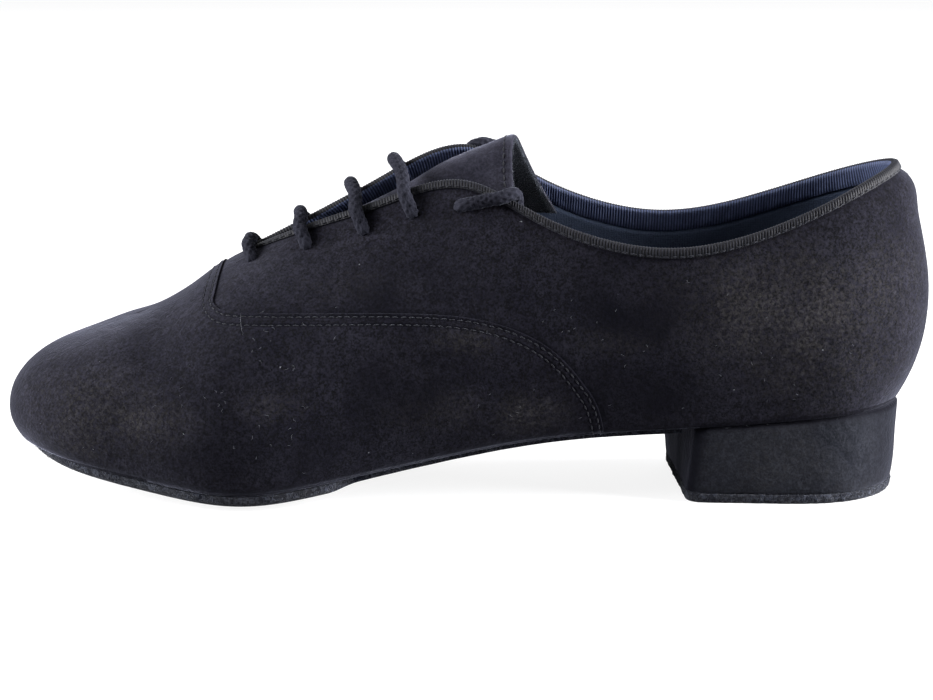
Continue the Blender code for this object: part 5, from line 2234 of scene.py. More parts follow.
@dataclass
class Binding:
    """Ribbed tape folded over the rim, sewn through near its outer edge."""

    builder: Builder
    last: Last
    finishes: Finishes
    slot: str = "binding_tape"
    rib_pitch: float = 0.00095
    rib_depth: float = 0.00024
    samples_per_rib: int = 4
    start_station: float = 4.34
    inside_rows: range = range(7, 14)

    def _stations(self) -> Array:
        """Signed stations round the rim at an even spacing along it.

        Returns:
            Stations, in order round the rim.
        """
        outer = np.linspace(self.start_station, LAST_STATION, 900)
        inner = -np.linspace(LAST_STATION, self.start_station, 900)[1:]
        signed = np.concatenate([outer, inner])
        run = run_lengths(self.last.top_line(signed))
        count = round(run[-1] / self.rib_pitch) * self.samples_per_rib
        around = np.concatenate([outer, ROUND + inner])
        even = np.interp(np.linspace(0, run[-1], count + 1), run, around)
        return np.where(even > LAST_STATION, even - ROUND, even)

    def build(self) -> None:
        """Makes the tape."""
        size = self.last.sizes
        stations = self._stations()
        below = np.array([0.0, 0.0008, 0.0016, size.tape_outside, 0.0036, 0.0048, size.tape_inside])
        wall = self.last.below_top(stations, below)
        rim = wall[:, 0]
        along = unit(np.gradient(rim, axis=0))
        down = unit(wall[:, 2] - rim)
        outward = self._facing_out(stations, np.cross(along, down))
        number = np.arange(len(stations))
        phase = 2 * math.pi * number / self.samples_per_rib
        rib = self.rib_depth * (0.5 + 0.5 * np.cos(phase))[:, None]
        uneven = Waves(41, 0.006).at(rim)[:, None] * 0.00007
        near = size.gap * 0.4
        far = size.gap + size.tape_thickness - self.rib_depth * 0.6
        inside = -size.skived_wall

        def at(depth: int, rise: Array | float, lift: float = 0.0) -> Array:
            """Points beside the wall: at a depth row, off its outer face and above the rim."""
            return wall[:, depth] + outward * rise - down * lift

        profile = [
            at(3, near),
            at(3, near + size.tape_thickness * 0.7),
            at(2, far + rib + uneven),
            at(1, far + rib + uneven),
            at(0, far * 0.92 + rib, far * 0.35),
            at(0, far * 0.25, far * 0.95) - down * rib,
            at(0, inside / 2, far * 1.12) - down * rib,
            at(0, inside - far * 0.25, far * 0.95) - down * rib,
            at(0, inside - far * 0.92 - rib, far * 0.35),
            at(1, inside - far - rib),
            at(2, inside - far - rib),
            at(4, inside - far - rib - uneven),
            at(5, inside - far - rib - uneven),
            at(6, inside - near - size.tape_thickness * 0.7),
            at(6, inside - near),
            at(4, inside - near),
            at(2, inside - near),
            at(0, inside - near, near),
            at(0, near, near),
            at(2, near),
        ]
        sections = np.stack(profile, axis=1)
        count, around = sections.shape[:2]
        # Faces on the inside of the fold take the tape's copy with painted light.
        inner = [int(j in self.inside_rows) for j in range(around)]
        self.builder.piece(
            "binding_tape_ribbed",
            sections.reshape(-1, 3),
            tube_faces(count, around, turned=True),
            [self.finishes.tape, self.finishes.tape_inside],
            self.slot,
            ("collar_binding",),
            inner * (count - 1) + [0, 0],
            columns={"rib": np.repeat(0.5 + 0.5 * np.cos(phase), around)},
            sharp=math.radians(60),
        )

    def _facing_out(self, stations: Array, normals: Array) -> Array:
        """Unit normals turned to the wall's outer face.

        Args:
            stations: Signed stations.
            normals: Unit normals at them.

        Returns:
            The same normals, turned where they looked inward.
        """
        normals = unit(normals)
        reference = self.last.outward(stations) + np.array([0.0, 0.0, 0.6])
        inward = (normals * reference).sum(axis=1, keepdims=True) < 0
        return np.where(inward, -normals, normals)

    def stitch_row(self) -> tuple[Array, Array]:
        """The line of stitches near the tape's outer edge, and its normals.

        Returns:
            Points along the row and their normals.
        """
        size = self.last.sizes
        stations = self._stations()[::4]
        beside = size.tape_outside + np.array([-0.0005, 0.001])
        wall = self.last.below_top(stations, beside)
        along = unit(np.gradient(wall[:, 0], axis=0))
        down = unit(wall[:, 1] - wall[:, 0])
        normal = self._facing_out(stations, np.cross(along, down))
        rise = size.gap + size.tape_thickness * 0.9
        return wall[:, 0] + normal * rise, normal


@dataclass
class Stitches:
    """Rows of machine stitches, each a short soft bead of thread."""

    builder: Builder
    finishes: Finishes
    pitch: float = 0.0025
    length: float = 0.0019
    width: float = 0.00046
    around: int = 6
    along: int = 5

    def build(self, name: str, rows: Sequence[tuple[Array, Array]], slot: str) -> None:
        """Makes one piece of all the stitches of these rows.

        Args:
            name: The piece's name.
            rows: Points and normals of each row.
            slot: The record's slot for it.
        """
        points: list[Array] = []
        faces: list[Face] = []
        draw = np.random.default_rng(5)
        for line, normals in rows:
            run = run_lengths(line)
            count = int(run[-1] / self.pitch)
            for i in range(count):
                middle = (i + 0.5) * self.pitch + draw.uniform(-0.05, 0.05) * self.pitch
                tilt = draw.uniform(-0.10, 0.10)
                ends = np.array([middle - self.length / 2, middle + self.length / 2])
                a, b = at_lengths(line, run, ends)
                up = unit(at_lengths(normals, run, middle))
                self._bead(points, faces, a, b, up, tilt)
        finish = [self.finishes.thread]
        self.builder.piece(name, np.array(points), faces, finish, slot, sharp=math.radians(80))

    def _bead(
        self, points: list[Array], faces: list[Face], a: Array, b: Array, up: Array, tilt: float
    ) -> None:
        """Adds one stitch, sunk at its ends.

        Args:
            points: The piece's points so far.
            faces: Its faces so far.
            a: Where the stitch starts.
            b: Where it ends.
            up: Out of the leather.
            tilt: How far it slants.
        """
        way = unit(b - a)
        side = unit(np.cross(up, way))
        way = unit(way + side * tilt)
        middle, half = (a + b) / 2, np.linalg.norm(b - a) / 2
        start = len(points)
        for i in range(self.along):
            t = -1 + 2 * i / (self.along - 1)
            swell = math.sqrt(max(1 - (abs(t) * 0.93) ** 2.6, 0.02))
            centre = middle + way * half * t + up * (0.10 * self.width - 0.30 * self.width * t * t)
            for j in range(self.around):
                turn = 2 * math.pi * j / self.around
                points.append(
                    centre
                    + side * math.cos(turn) * self.width / 2 * swell
                    + up * math.sin(turn) * self.width * 0.42 * swell
                )
        faces += tube_faces(self.along, self.around, start, turned=True)


@dataclass
class Tongue:
    """The tongue: nubuck outside, fleece inside, with a stitched rear edge."""

    builder: Builder
    last: Last
    finishes: Finishes
    slot: str = "tongue_nubuck"
    columns: int = 64
    body_lines: int = 66
    free_lines: int = 22
    hollow_x: tuple[float, ...] = (0.134, 0.142, 0.150, 0.165, 0.180, 0.200, 0.215)
    hollow_depth: tuple[float, ...] = (0.0, 0.0026, 0.0044, 0.0052, 0.0046, 0.0020, 0.0)
    top: Array = field(init=False)
    square: Array = field(init=False)

    def __post_init__(self) -> None:
        """Lays out the tongue's upper face."""
        size = self.last.sizes
        ends = np.arange(0, FIRST_RIM_STATION + 1)
        reach = self.last.top_x(FIRST_RIM_STATION) + size.tongue_front_cover
        front = float(np.interp(-reach, -self.last.top_x(ends), ends))
        stations = np.linspace(front, 7.0, self.body_lines)
        lines = [self._section(station) for station in stations]
        share = np.linspace(0, 1, self.columns + 1)
        back_most = size.tongue_reach + size.tongue_skew * share + size.tongue_curve * (share - 0.5) ** 2
        last_line = lines[-1]
        middle = last_line[self.columns // 2]
        for step in np.linspace(0, 1, self.free_lines + 1)[1:]:
            back = back_most * step
            lift = self.last.ridge_z(last_line[:, 0] - back) - self.last.ridge_z(last_line[:, 0])
            y = middle[1] + (last_line[:, 1] - middle[1]) * (1 - 0.12 * step)
            lines.append(np.stack([last_line[:, 0] - back, y, last_line[:, 2] + lift], axis=-1))
        top = np.array(lines)
        for _ in range(3):
            top[1:-1] = 0.25 * top[:-2] + 0.5 * top[1:-1] + 0.25 * top[2:]
        across = np.abs(np.linspace(-0.5, 0.5, self.columns + 1))
        settle = 1 - smooth_step(across, 0.12, 0.36)
        top[:, :, 2] -= np.interp(top[:, :, 0], self.hollow_x, self.hollow_depth) * settle[None]
        soft = Waves(61, 0.030).at(top) * 0.00018
        square = unit(np.cross(np.gradient(top, axis=1), np.gradient(top, axis=0)))
        square[square[:, :, 2] < 0] *= -1
        self.top = top + square * soft[..., None]
        self.square = square

    def _section(self, station: float) -> Array:
        """Points across the outer face at a station, from the outer to the inner edge.

        Args:
            station: Its place along the tongue.

        Returns:
            Points in space.
        """
        size = self.last.sizes
        depth = size.wall + 3.5 * size.gap
        cover = size.tongue_side_cover + 0.011 * float(smooth_step(station, 6.0, 7.0))
        below = np.linspace(cover, 0, 9)
        flanks = {}
        for side in Side:
            at = side.value * station
            near = np.array([at - 0.05, at, at + 0.05])
            lower = self.last.below_top(near, below + 0.0006)
            here = self.last.below_top(near, below)
            along = here[2] - here[0]
            square = unit(np.cross(along, here[1] - lower[1]))
            square[square[:, 2] < 0] *= -1
            flanks[side] = here[1] - square * depth
        outer, inner = flanks[Side.OUTER], flanks[Side.INNER]
        sag = size.tongue_sag * (1 - smooth_step(station, 6.0, 7.0))
        x = float(self.last.top_x(station))
        crown = np.array([x, RIDGE_SIDEWAYS * size.ball_width, float(self.last.ridge_z(x)) - sag])
        blend = float(smooth_step(station, FIRST_RIM_STATION + 0.1, FIRST_RIM_STATION + 0.6))
        flat = np.vstack([outer, inner[-2::-1]])
        arched = np.vstack([outer, self._arch(outer[-2:], crown, inner[-2:]), inner[::-1]])
        return self._even(flat) * (1 - blend) + self._even(arched) * blend

    def _even(self, line: Array) -> Array:
        """A line's points, evenly spaced and as many as the tongue has."""
        return resampled(line, self.columns + 1)

    @staticmethod
    def _arch(outer_end: Array, crown: Array, inner_end: Array) -> Array:
        """The part that shows: an arch from rim to rim over the crown.

        Args:
            outer_end: Where it ends at the outer rim.
            crown: Its highest point.
            inner_end: Where it ends at the inner rim.

        Returns:
            Points along it.
        """
        halves = []
        for start, end in ((outer_end, crown), (inner_end, crown)):
            way = unit(start[1] - start[0])
            span = np.linalg.norm(end - start[1])
            level = np.array([0.0, np.sign(start[1][1] - end[1]) * span * 0.45, 0.0])
            first, second = start[1] + way * span * 0.35, end + level
            t = np.linspace(0.06, 1, 16)[:, None]
            halves.append(bow(t, start[1], first, second, end))
        return np.vstack([halves[0], halves[1][-2::-1]])

    def build(self) -> None:
        """Makes the tongue as one closed shell with a rounded edge."""
        size = self.last.sizes
        lines, columns = self.top.shape[:2]
        top = self.top.copy()
        under = self.top - self.square * size.tongue_thickness
        edge_in = 0.00035
        for grid, way in ((top, -1), (under, 1)):
            for rim in (np.s_[0], np.s_[-1]):
                grid[rim] += self.square[rim] * way * edge_in
            for rim in (0, -1):
                grid[:, rim] += self.square[:, rim] * way * edge_in
        points = np.concatenate([top.reshape(-1, 3), under.reshape(-1, 3)])
        count = lines * columns
        front: list[Face] = []
        for i in range(lines - 1):
            for j in range(columns - 1):
                a = i * columns + j
                front.append((a, a + columns, a + columns + 1, a + 1))
        back, edges = shell(front, count)
        lays = [Lay.OUTSIDE.value] * len(front) + [Lay.INSIDE.value] * len(back)
        lays += [Lay.OUTSIDE.value] * len(edges)
        normal = np.cross(top[1, 0] - top[0, 0], top[0, 1] - top[0, 0])
        faces = front + back + edges
        if normal @ self.square[0, 0] < 0:
            faces = [face[::-1] for face in faces]
        self.builder.piece(
            "tongue_padded",
            points,
            faces,
            [self.finishes.tongue, self.finishes.fleece],
            self.slot,
            ("tongue",),
            lays,
            sharp=math.radians(70),
        )

    def edge_fibres(self) -> tuple[Array, Array]:
        """Roots and directions for the fringe of fleece along the rear edge.

        Returns:
            Their roots and their directions.
        """
        draw = np.random.default_rng(93)
        line = self.top[-1] - self.square[-1] * self.last.sizes.tongue_thickness * 0.8
        back = unit(self.top[-1] - self.top[-3])
        pick = draw.uniform(0, len(line) - 1.001, 1500)
        low = pick.astype(int)
        share = (pick - low)[:, None]
        roots = line[low] * (1 - share) + line[low + 1] * share
        return roots + self.square[-1][low] * draw.uniform(-0.5, 0.8, (1500, 1)) * MM, back[low]

    def stitch_rows(self) -> list[tuple[Array, Array]]:
        """The row of stitches round the free end, a little inside its edge.

        Returns:
            Each row's points and their normals.
        """
        line = self.top[-5, 4:-4]
        normal = self.square[-5, 4:-4]
        return [(line + normal * 0.00012, normal)]


def drawn_in(inset: float) -> Curve:
    """An offset for an edge that lies this far inside the feather line all round.

    Args:
        inset: How far inside it lies.

    Returns:
        The offset by signed station.
    """

    def offset(stations: Array) -> Array:
        """The same offset at each station."""
        return np.full(len(stations), -inset)

    return offset


@dataclass
class Bottom:
    """The suede sole, the footbed, the covered heel and its suede tip."""

    builder: Builder
    last: Last
    finishes: Finishes
    cross_columns: int = 40
    stations_between: int = 14
    edge_rows: tuple[float, ...] = (0.0003, 0.0008, 0.0016, 0.003, 0.006, 0.012)
    sole_reach: float = -0.0002
    worn_reach: float = 0.0006
    worn_height: float = 0.0100
    back_reach: float = 0.0011
    breast_turn: float = math.radians(4.8)
    outline_points: int = 220
    block_rows: tuple[float, ...] = (
        *(0.0, 0.015, 0.04, 0.08, 0.14, 0.20, 0.28, 0.38),
        *(0.50, 0.65, 0.80, 0.92, 0.965, 0.99, 1.0),
    )
    tip_rows: tuple[tuple[float, float], ...] = (
        *((0.0, 0.0007), (0.10, 0.0002), (0.35, 0.0)),
        *((0.65, 0.0), (0.9, 0.0), (1.0, 0.0003)),
    )

    def build(self) -> None:
        """Makes the four pieces."""
        self._build_sole()
        self._build_footbed()
        self._build_heel()

    def _plan(self, offset: Curve, stations: Array) -> Array:
        """Plan points across the bottom, from the outer to the inner edge.

        Args:
            offset: How far the edge stands out of the feather line, by signed station.
            stations: Stations from the toe.

        Returns:
            Plan points by (station, column).
        """
        outer = self._edge(stations, offset, Side.OUTER)
        inner = self._edge(stations, offset, Side.INNER)
        wide = np.maximum(np.linalg.norm(outer - inner, axis=1), 1e-9)
        rows = []
        for a, b, w in zip(outer, inner, wide):
            most = 0.45 * w / len(self.edge_rows)
            near = [min(inset, most * (i + 1)) for i, inset in enumerate(self.edge_rows)]
            middle = np.linspace(near[-1], w - near[-1], self.cross_columns)
            share = np.concatenate([[0.0], near[:-1], middle, w - np.array(near[-2::-1]), [w]]) / w
            rows.append(a * (1 - share[:, None]) + b * share[:, None])
        return np.array(rows)

    def _edge(self, stations: Array, offset: Curve, side: Side) -> Array:
        """The edge's plan points on one side, moved out of the feather line.

        Args:
            stations: Stations from the toe.
            offset: How far out, by signed station.
            side: Its side.

        Returns:
            Plan points.
        """
        signed = stations * side.value
        foot = self.last.feather(signed)[:, :2]
        return foot + self.last.outward(signed)[:, :2] * offset(signed)[:, None]

    def _sole_offset(self, stations: Array) -> Array:
        """How far the sole's edge stands out of the feather line, and tucks in at the waist.

        Args:
            stations: Signed stations.

        Returns:
            Distances out of the feather line.
        """
        size = self.last.sizes
        moved = np.empty(len(stations))
        for i, station in enumerate(stations):
            front, back = OUTER_TUCK if station >= 0 else INNER_TUCK
            x = self.last.feather_x(station)
            tucked = smooth_step(x, back * size.length, front * size.length)
            moved[i] = -size.waist_tuck + (size.waist_tuck + self.sole_reach) * tucked
        ragged = Waves(71, 0.004).at(self.last.feather(stations)) * 0.00010
        return moved + ragged

    @staticmethod
    def _slab(plan: Array, low: Array, high: Array) -> tuple[Array, list[Face]]:
        """A solid between two heights over a plan grid.

        Args:
            plan: Plan points by (row, column); the end rows count as single points.
            low: Heights of its underside.
            high: Heights of its top.

        Returns:
            Its points and faces.
        """
        rows, columns = plan.shape[:2]
        points = np.concatenate([np.dstack([plan, z]).reshape(-1, 3) for z in (low, high)])
        top = rows * columns
        ends = (0, rows - 1)

        def at(row: int, col: int) -> int:
            """Vertex number; the first and last rows are single points."""
            return row * columns + (0 if row in ends else col)

        faces: list[Face] = []
        for i in range(rows - 1):
            for j in range(columns - 1):
                corners = (at(i, j), at(i + 1, j), at(i + 1, j + 1), at(i, j + 1))
                kept = tuple(dict.fromkeys(corners))
                if len(kept) > 2:
                    faces.append(tuple(top + v for v in kept))
                    faces.append(kept[::-1])
        upper = faces[::2]
        for a, b in open_edges(upper):
            faces.append((b, a, a - top, b - top))
        return points, faces

    def _build_sole(self) -> None:
        """The sole, full at the tread and thin under the waist, as far as the heel's breast."""
        size = self.last.sizes
        outer = self.last.station_at(self.last.breast + size.gap, Side.OUTER)
        stations = np.linspace(0, outer, round(outer * self.stations_between))
        plan = self._plan(self._sole_offset, stations)
        limit = self._breast_x(plan[..., 1], 1.0) + size.gap
        plan[..., 0] = np.maximum(plan[..., 0], limit)
        inset = self.last.from_feather(plan)
        high = self.last.bottom_z(plan[..., 0], inset) - size.gap
        front, back = OUTER_TUCK
        forefoot = smooth_step(plan[..., 0], back * size.length, front * size.length)
        thick = size.waist_thickness + (size.sole_thickness - size.waist_thickness) * forefoot
        low = np.maximum(high - thick, 0.0)
        edge = np.clip((inset + self.sole_reach) / 0.0022, 0, 1)
        shy = (1 - edge) ** 2 * 0.0011 * forefoot
        rows, columns = plan.shape[:2]
        points, faces = self._slab(plan, low + shy, high + shy * 0.1)
        faces = self._square_back(faces, rows, columns)
        self.builder.piece(
            "outsole_suede",
            points,
            faces,
            [self.finishes.sole],
            "sole_suede",
            ("outsole",),
            sharp=math.radians(50),
        )

    @staticmethod
    def _square_back(faces: list[Face], rows: int, columns: int) -> list[Face]:
        """Gives a slab a full last row in place of a single point.

        Args:
            faces: The slab's faces.
            rows: How many rows its grid has.
            columns: How many points each row has.

        Returns:
            The new faces.
        """
        top = rows * columns
        start = (rows - 1) * columns
        kept = [f for f in faces if not any(v in (start, top + start) for v in f)]
        i = rows - 2
        for j in range(columns - 1):
            quad = (
                i * columns + j,
                (i + 1) * columns + j,
                (i + 1) * columns + j + 1,
                i * columns + j + 1,
            )
            kept.append(tuple(top + v for v in quad))
            kept.append(quad[::-1])
        upper = [f for f in kept if min(f) >= top]
        sides = {frozenset(f) for f in kept}
        for a, b in open_edges(upper):
            side = (b, a, a - top, b - top)
            if frozenset(side) not in sides:
                kept.append(side)
        return kept

    def _build_footbed(self) -> None:
        """The footbed inside the upper, a little cupped."""
        size = self.last.sizes
        stations = np.linspace(0, LAST_STATION, 90)
        plan = self._plan(drawn_in(size.insole_inset), stations)
        inset = self.last.from_feather(plan)
        low = self.last.bottom_z(plan[..., 0], inset) + size.wall + 2 * size.gap
        away = np.minimum(inset - size.insole_inset, 0.002) / 0.002
        high = low + size.insole_thickness - 0.0008 * (1 - np.clip(away, 0, 1)) ** 2
        points, faces = self._slab(plan, low, high)
        self.builder.piece(
            "footbed_cover",
            points,
            faces,
            [self.finishes.footbed],
            "footbed",
            ("insole",),
            sharp=math.radians(50),
        )

    def sole_fibres(self, spacing: float) -> tuple[Array, Array]:
        """Roots and directions for fibres on the sole's edge.

        Args:
            spacing: How far apart they stand.

        Returns:
            Their roots and their directions.
        """
        size = self.last.sizes
        draw = np.random.default_rng(91)
        stations = np.linspace(-7.2, 7.2, int(0.330 / spacing))
        foot = self.last.feather(stations)
        out = self.last.outward(stations)
        plan = foot[:, :2] + out[:, :2] * self._sole_offset(stations)[:, None]
        high = self.last.bottom_z(plan[:, 0], np.zeros(len(plan))) - size.gap
        low = np.maximum(high - size.sole_thickness, 0.0)
        z = low + (high - low) * draw.uniform(0.15, 1.0, len(plan))
        return np.column_stack([plan, z]) - out * 0.0002, out

    def tip_fibres(self, spacing: float) -> tuple[Array, Array]:
        """Roots and directions for fibres on the heel tip's edge.

        Args:
            spacing: How far apart they stand.

        Returns:
            Their roots and their directions.
        """
        size = self.last.sizes
        draw = np.random.default_rng(92)
        outline = self._heel_outline(size.gap + size.heel_taper)
        closed = np.vstack([outline, outline[:1]])
        plan = resampled(closed, int(run_lengths(closed)[-1] / spacing))
        z = size.tip_thickness * draw.uniform(0.05, 0.98, len(plan))
        roots = self._worn(plan, z)
        way = unit(np.column_stack([plan - outline.mean(axis=0), np.zeros(len(plan))]))
        return roots - way * 0.0002, way

    def _breast_x(self, y: Array, share: Array) -> Array:
        """Where the heel's breast stands at y, at this share of its height."""
        skew = self.last.sizes.breast_skew + self.breast_turn * share
        return self.last.breast - np.tan(skew) * y

    def _heel_outline(self, inset: float, height: float = 0.0) -> Array:
        """The heel's plan outline.

        Args:
            inset: How far it is drawn in.
            height: The share of the heel's height that it lies at.

        Returns:
            Plan points, evenly spaced round it.
        """
        size, breast = self.last.sizes, self.last.breast
        turn = math.tan(size.breast_skew + self.breast_turn * height)
        corner = size.heel_corner
        halves: dict[Side, tuple[Array, Array]] = {}
        for side in Side:
            sign = side.value
            stations = np.linspace(self.last.station_at(breast + 0.01, side), LAST_STATION, 120)
            line = self._edge(stations, drawn_in(inset), side)
            reach = breast - corner - turn * line[:, 1]
            line = line[line[:, 0] < reach - 0.0002]
            edge_y = line[0, 1]
            arc = []
            for angle in np.linspace(0, math.pi / 2, 12)[1:-1]:
                y = edge_y - sign * corner * (1 - math.cos(angle))
                arc.append((breast - corner + math.sin(angle) * corner - turn * y, y))
            halves[side] = (np.array(arc), line)
        outer_arc, outer_line = halves[Side.OUTER]
        inner_arc, inner_line = halves[Side.INNER]
        share = np.linspace(0, 1, 26)[1:-1, None]
        across = inner_arc[-1] * (1 - share) + outer_arc[-1] * share
        loop = [inner_line[::-1], inner_arc, across, outer_arc[::-1], outer_line[:-1]]
        ring = np.concatenate(loop)
        return resampled(np.vstack([ring, ring[:1]]), self.outline_points + 1)[:-1]

    def _build_heel(self) -> None:
        """The nubuck-covered block and the tip under it."""
        size = self.last.sizes
        split = size.tip_thickness + size.gap
        block = []
        for share in self.block_rows:
            soft = 0.0004 * bell(share, 0.02) + 0.0009 * bell(1 - share, 0.02)
            outline = self._heel_outline(self._taper(share) + soft, share)
            seat = self.last.bottom_z(outline[:, 0], self.last.from_feather(outline)) - size.gap
            z = split + (seat - split) * share
            bulge = Waves(81, 0.018).at(np.column_stack([outline, z])) * 0.00012
            outline = outline + unit(outline - outline.mean(axis=0)) * bulge[:, None]
            block.append(self._worn(outline, z))
        self._rings("heel_block_cover", block, self.finishes.cover, "heel_cover", "heel_block")
        tip = []
        for share, soft in self.tip_rows:
            outline = self._heel_outline(self._taper(share * 0.12) + soft)
            ragged = Waves(82, 0.003).at(np.column_stack([outline, np.zeros(len(outline))])) * 0.00012
            outline = outline + unit(outline - outline.mean(axis=0)) * ragged[:, None]
            tip.append(self._worn(outline, np.full(len(outline), size.tip_thickness * share)))
        self._rings("heel_tip_suede", tip, self.finishes.sole, "sole_suede", "heel_tip")

    def _taper(self, share: float) -> float:
        """How far the heel is drawn in at this share of its height."""
        return self.last.sizes.gap + self.last.sizes.heel_taper * (1 - share)

    def _worn(self, outline: Array, z: Array) -> Array:
        """A ring of the heel, drawn in low down at the back as wear leaves it.

        Args:
            outline: The ring's plan points.
            z: Their heights.

        Returns:
            Points in space.
        """
        heel_back = self.last.heel_back
        back = 1 - smooth_step(outline[:, 0], heel_back, heel_back + 0.024)
        low = np.clip(1 - z / self.worn_height, 0, 1) ** 2
        middle = np.array([heel_back + 0.030, 0.0])
        inward = (self.worn_reach * low - self.back_reach) * back
        moved = outline + unit(middle - outline) * inward[:, None]
        lifted = z + 0.0001 * back * np.clip(1 - z / self.last.sizes.tip_thickness, 0, 1)
        return np.column_stack([moved, lifted])

    def _heel_shade(self, points: Array) -> Array:
        """How much painted shade each point of the heel gets: on the breast, under the upper and at the
        back.

        Args:
            points: Points of the heel.

        Returns:
            Shares, by point.
        """
        x, y, z = points.T
        heel_back = self.last.heel_back
        seat = self.last.bottom_z(x, np.zeros(len(points)))
        front = smooth_step(x - self._breast_x(y, z / seat), -0.004, -0.0008)
        back = 1 - smooth_step(x, heel_back, heel_back + 0.016)
        under = bell(np.minimum(z - seat, 0), 0.0012)
        return np.clip(0.85 * front + under + 0.70 * back, 0, 1)

    def _rings(
        self, name: str, rings: list[Array], material: bpy.types.Material, slot: str, node: str
    ) -> None:
        """Makes a solid of rings, closed above and below.

        Args:
            name: The piece's name.
            rings: Its rings, from the lowest.
            material: Its finish.
            slot: The record's slot for it.
            node: The solid that it stands for.
        """
        points = np.concatenate(rings)
        size = len(rings[0])
        faces = tube_faces(len(rings), size, capped=False)
        centre_low = len(points)
        middles = np.array([rings[0].mean(axis=0), rings[-1].mean(axis=0)])
        points = np.vstack([points, middles])
        last = (len(rings) - 1) * size
        for j in range(size):
            k = (j + 1) % size
            faces.append((k, j, centre_low))
            faces.append((last + j, last + k, centre_low + 1))
        spokes = rings[0][:, :2] - rings[0][0, :2]
        area = np.cross(spokes[1:], np.roll(spokes, -1, axis=0)[1:]).sum()
        if area < 0:
            faces = [face[::-1] for face in faces]
        columns = {"shade": self._heel_shade(points)}
        self.builder.piece(
            name, points, faces, [material], slot, (node,), columns=columns, sharp=math.radians(60)
        )


@dataclass
class Fuzz:
    """Loose fibres that stand out of a cut edge, each a thin curved spike."""

    builder: Builder
    finishes: Finishes
    radius: float = 0.000035
    shortest: float = 0.00025
    longest: float = 0.00110

    def build(
        self, name: str, roots: Array, outs: Array, material: bpy.types.Material, slot: str
    ) -> None:
        """Makes one piece of all the fibres.

        Args:
            name: The piece's name.
            roots: Where they grow from.
            outs: Directions out of the edge there.
            material: Their finish.
            slot: The record's slot for it.
        """
        draw = np.random.default_rng(len(roots))
        count = len(roots)
        way = unit(outs + draw.normal(size=(count, 3)) * 0.55)
        size = draw.uniform(self.shortest, self.longest, (count, 1))
        size = size * draw.uniform(0.4, 1.0, (count, 1))
        across = unit(np.cross(way, draw.normal(size=(count, 3))))
        other = np.cross(way, across)
        bend = across * draw.normal(size=(count, 1)) * 0.4
        middle = roots + way * size * 0.55
        tip = roots + unit(way + bend) * size
        points = []
        for base, thick in ((roots - way * 0.0001, 1.0), (middle, 0.7)):
            for turn in THIRDS:
                side = across * math.cos(turn) + other * math.sin(turn)
                points.append(base + side * self.radius * thick)
        points.append(tip)
        grid = np.stack(points, axis=1)
        grid[..., 2] = np.maximum(grid[..., 2], 0.0)
        faces: list[Face] = []
        for i in range(count):
            a = 7 * i
            for j in range(3):
                k = (j + 1) % 3
                faces.append((a + j, a + k, a + 3 + k, a + 3 + j))
                faces.append((a + 3 + j, a + 3 + k, a + 6))
            faces.append((a + 2, a + 1, a))
        self.builder.piece(name, grid.reshape(-1, 3), faces, [material], slot, sharp=math.pi)


@dataclass(frozen=True)
class LintRow:
    """A cluster of lint on the outer side: its place in shoe lengths and heights."""

    name: str
    x: float
    z: float
    spread: float
    fibres: int
    length: float


LINT: tuple[LintRow, ...] = (
    LintRow("fibre over the seam", 0.7274, 0.557, 0.0000, 1, 0.0095),
    LintRow("fluff on the vamp, front", 0.8050, 0.405, 0.0050, 6, 0.0018),
    LintRow("fluff on the vamp, middle", 0.7550, 0.400, 0.0045, 6, 0.0020),
    LintRow("fluff on the vamp, high", 0.7200, 0.520, 0.0035, 4, 0.0016),
    LintRow("spot on the vamp", 0.6760, 0.475, 0.0008, 5, 0.0016),
    LintRow("fluff on the vamp, low", 0.6750, 0.285, 0.0090, 9, 0.0020),
    LintRow("lint by the ball", 0.7150, 0.200, 0.0110, 5, 0.0015),
    LintRow("lint over the seam", 0.6800, 0.640, 0.0120, 7, 0.0015),
    LintRow("lint under the facing", 0.4100, 0.640, 0.0140, 8, 0.0013),
    LintRow("lint at the collar", 0.3350, 0.560, 0.0130, 8, 0.0014),
    LintRow("lint before the seam", 0.4500, 0.320, 0.0150, 8, 0.0014),
    LintRow("lint on the heel quarter", 0.1500, 0.560, 0.0260, 12, 0.0013),
    LintRow("lint on the counter", 0.1700, 0.360, 0.0200, 8, 0.0013),
    LintRow("lint on the toe", 0.8800, 0.300, 0.0220, 9, 0.0013),
)


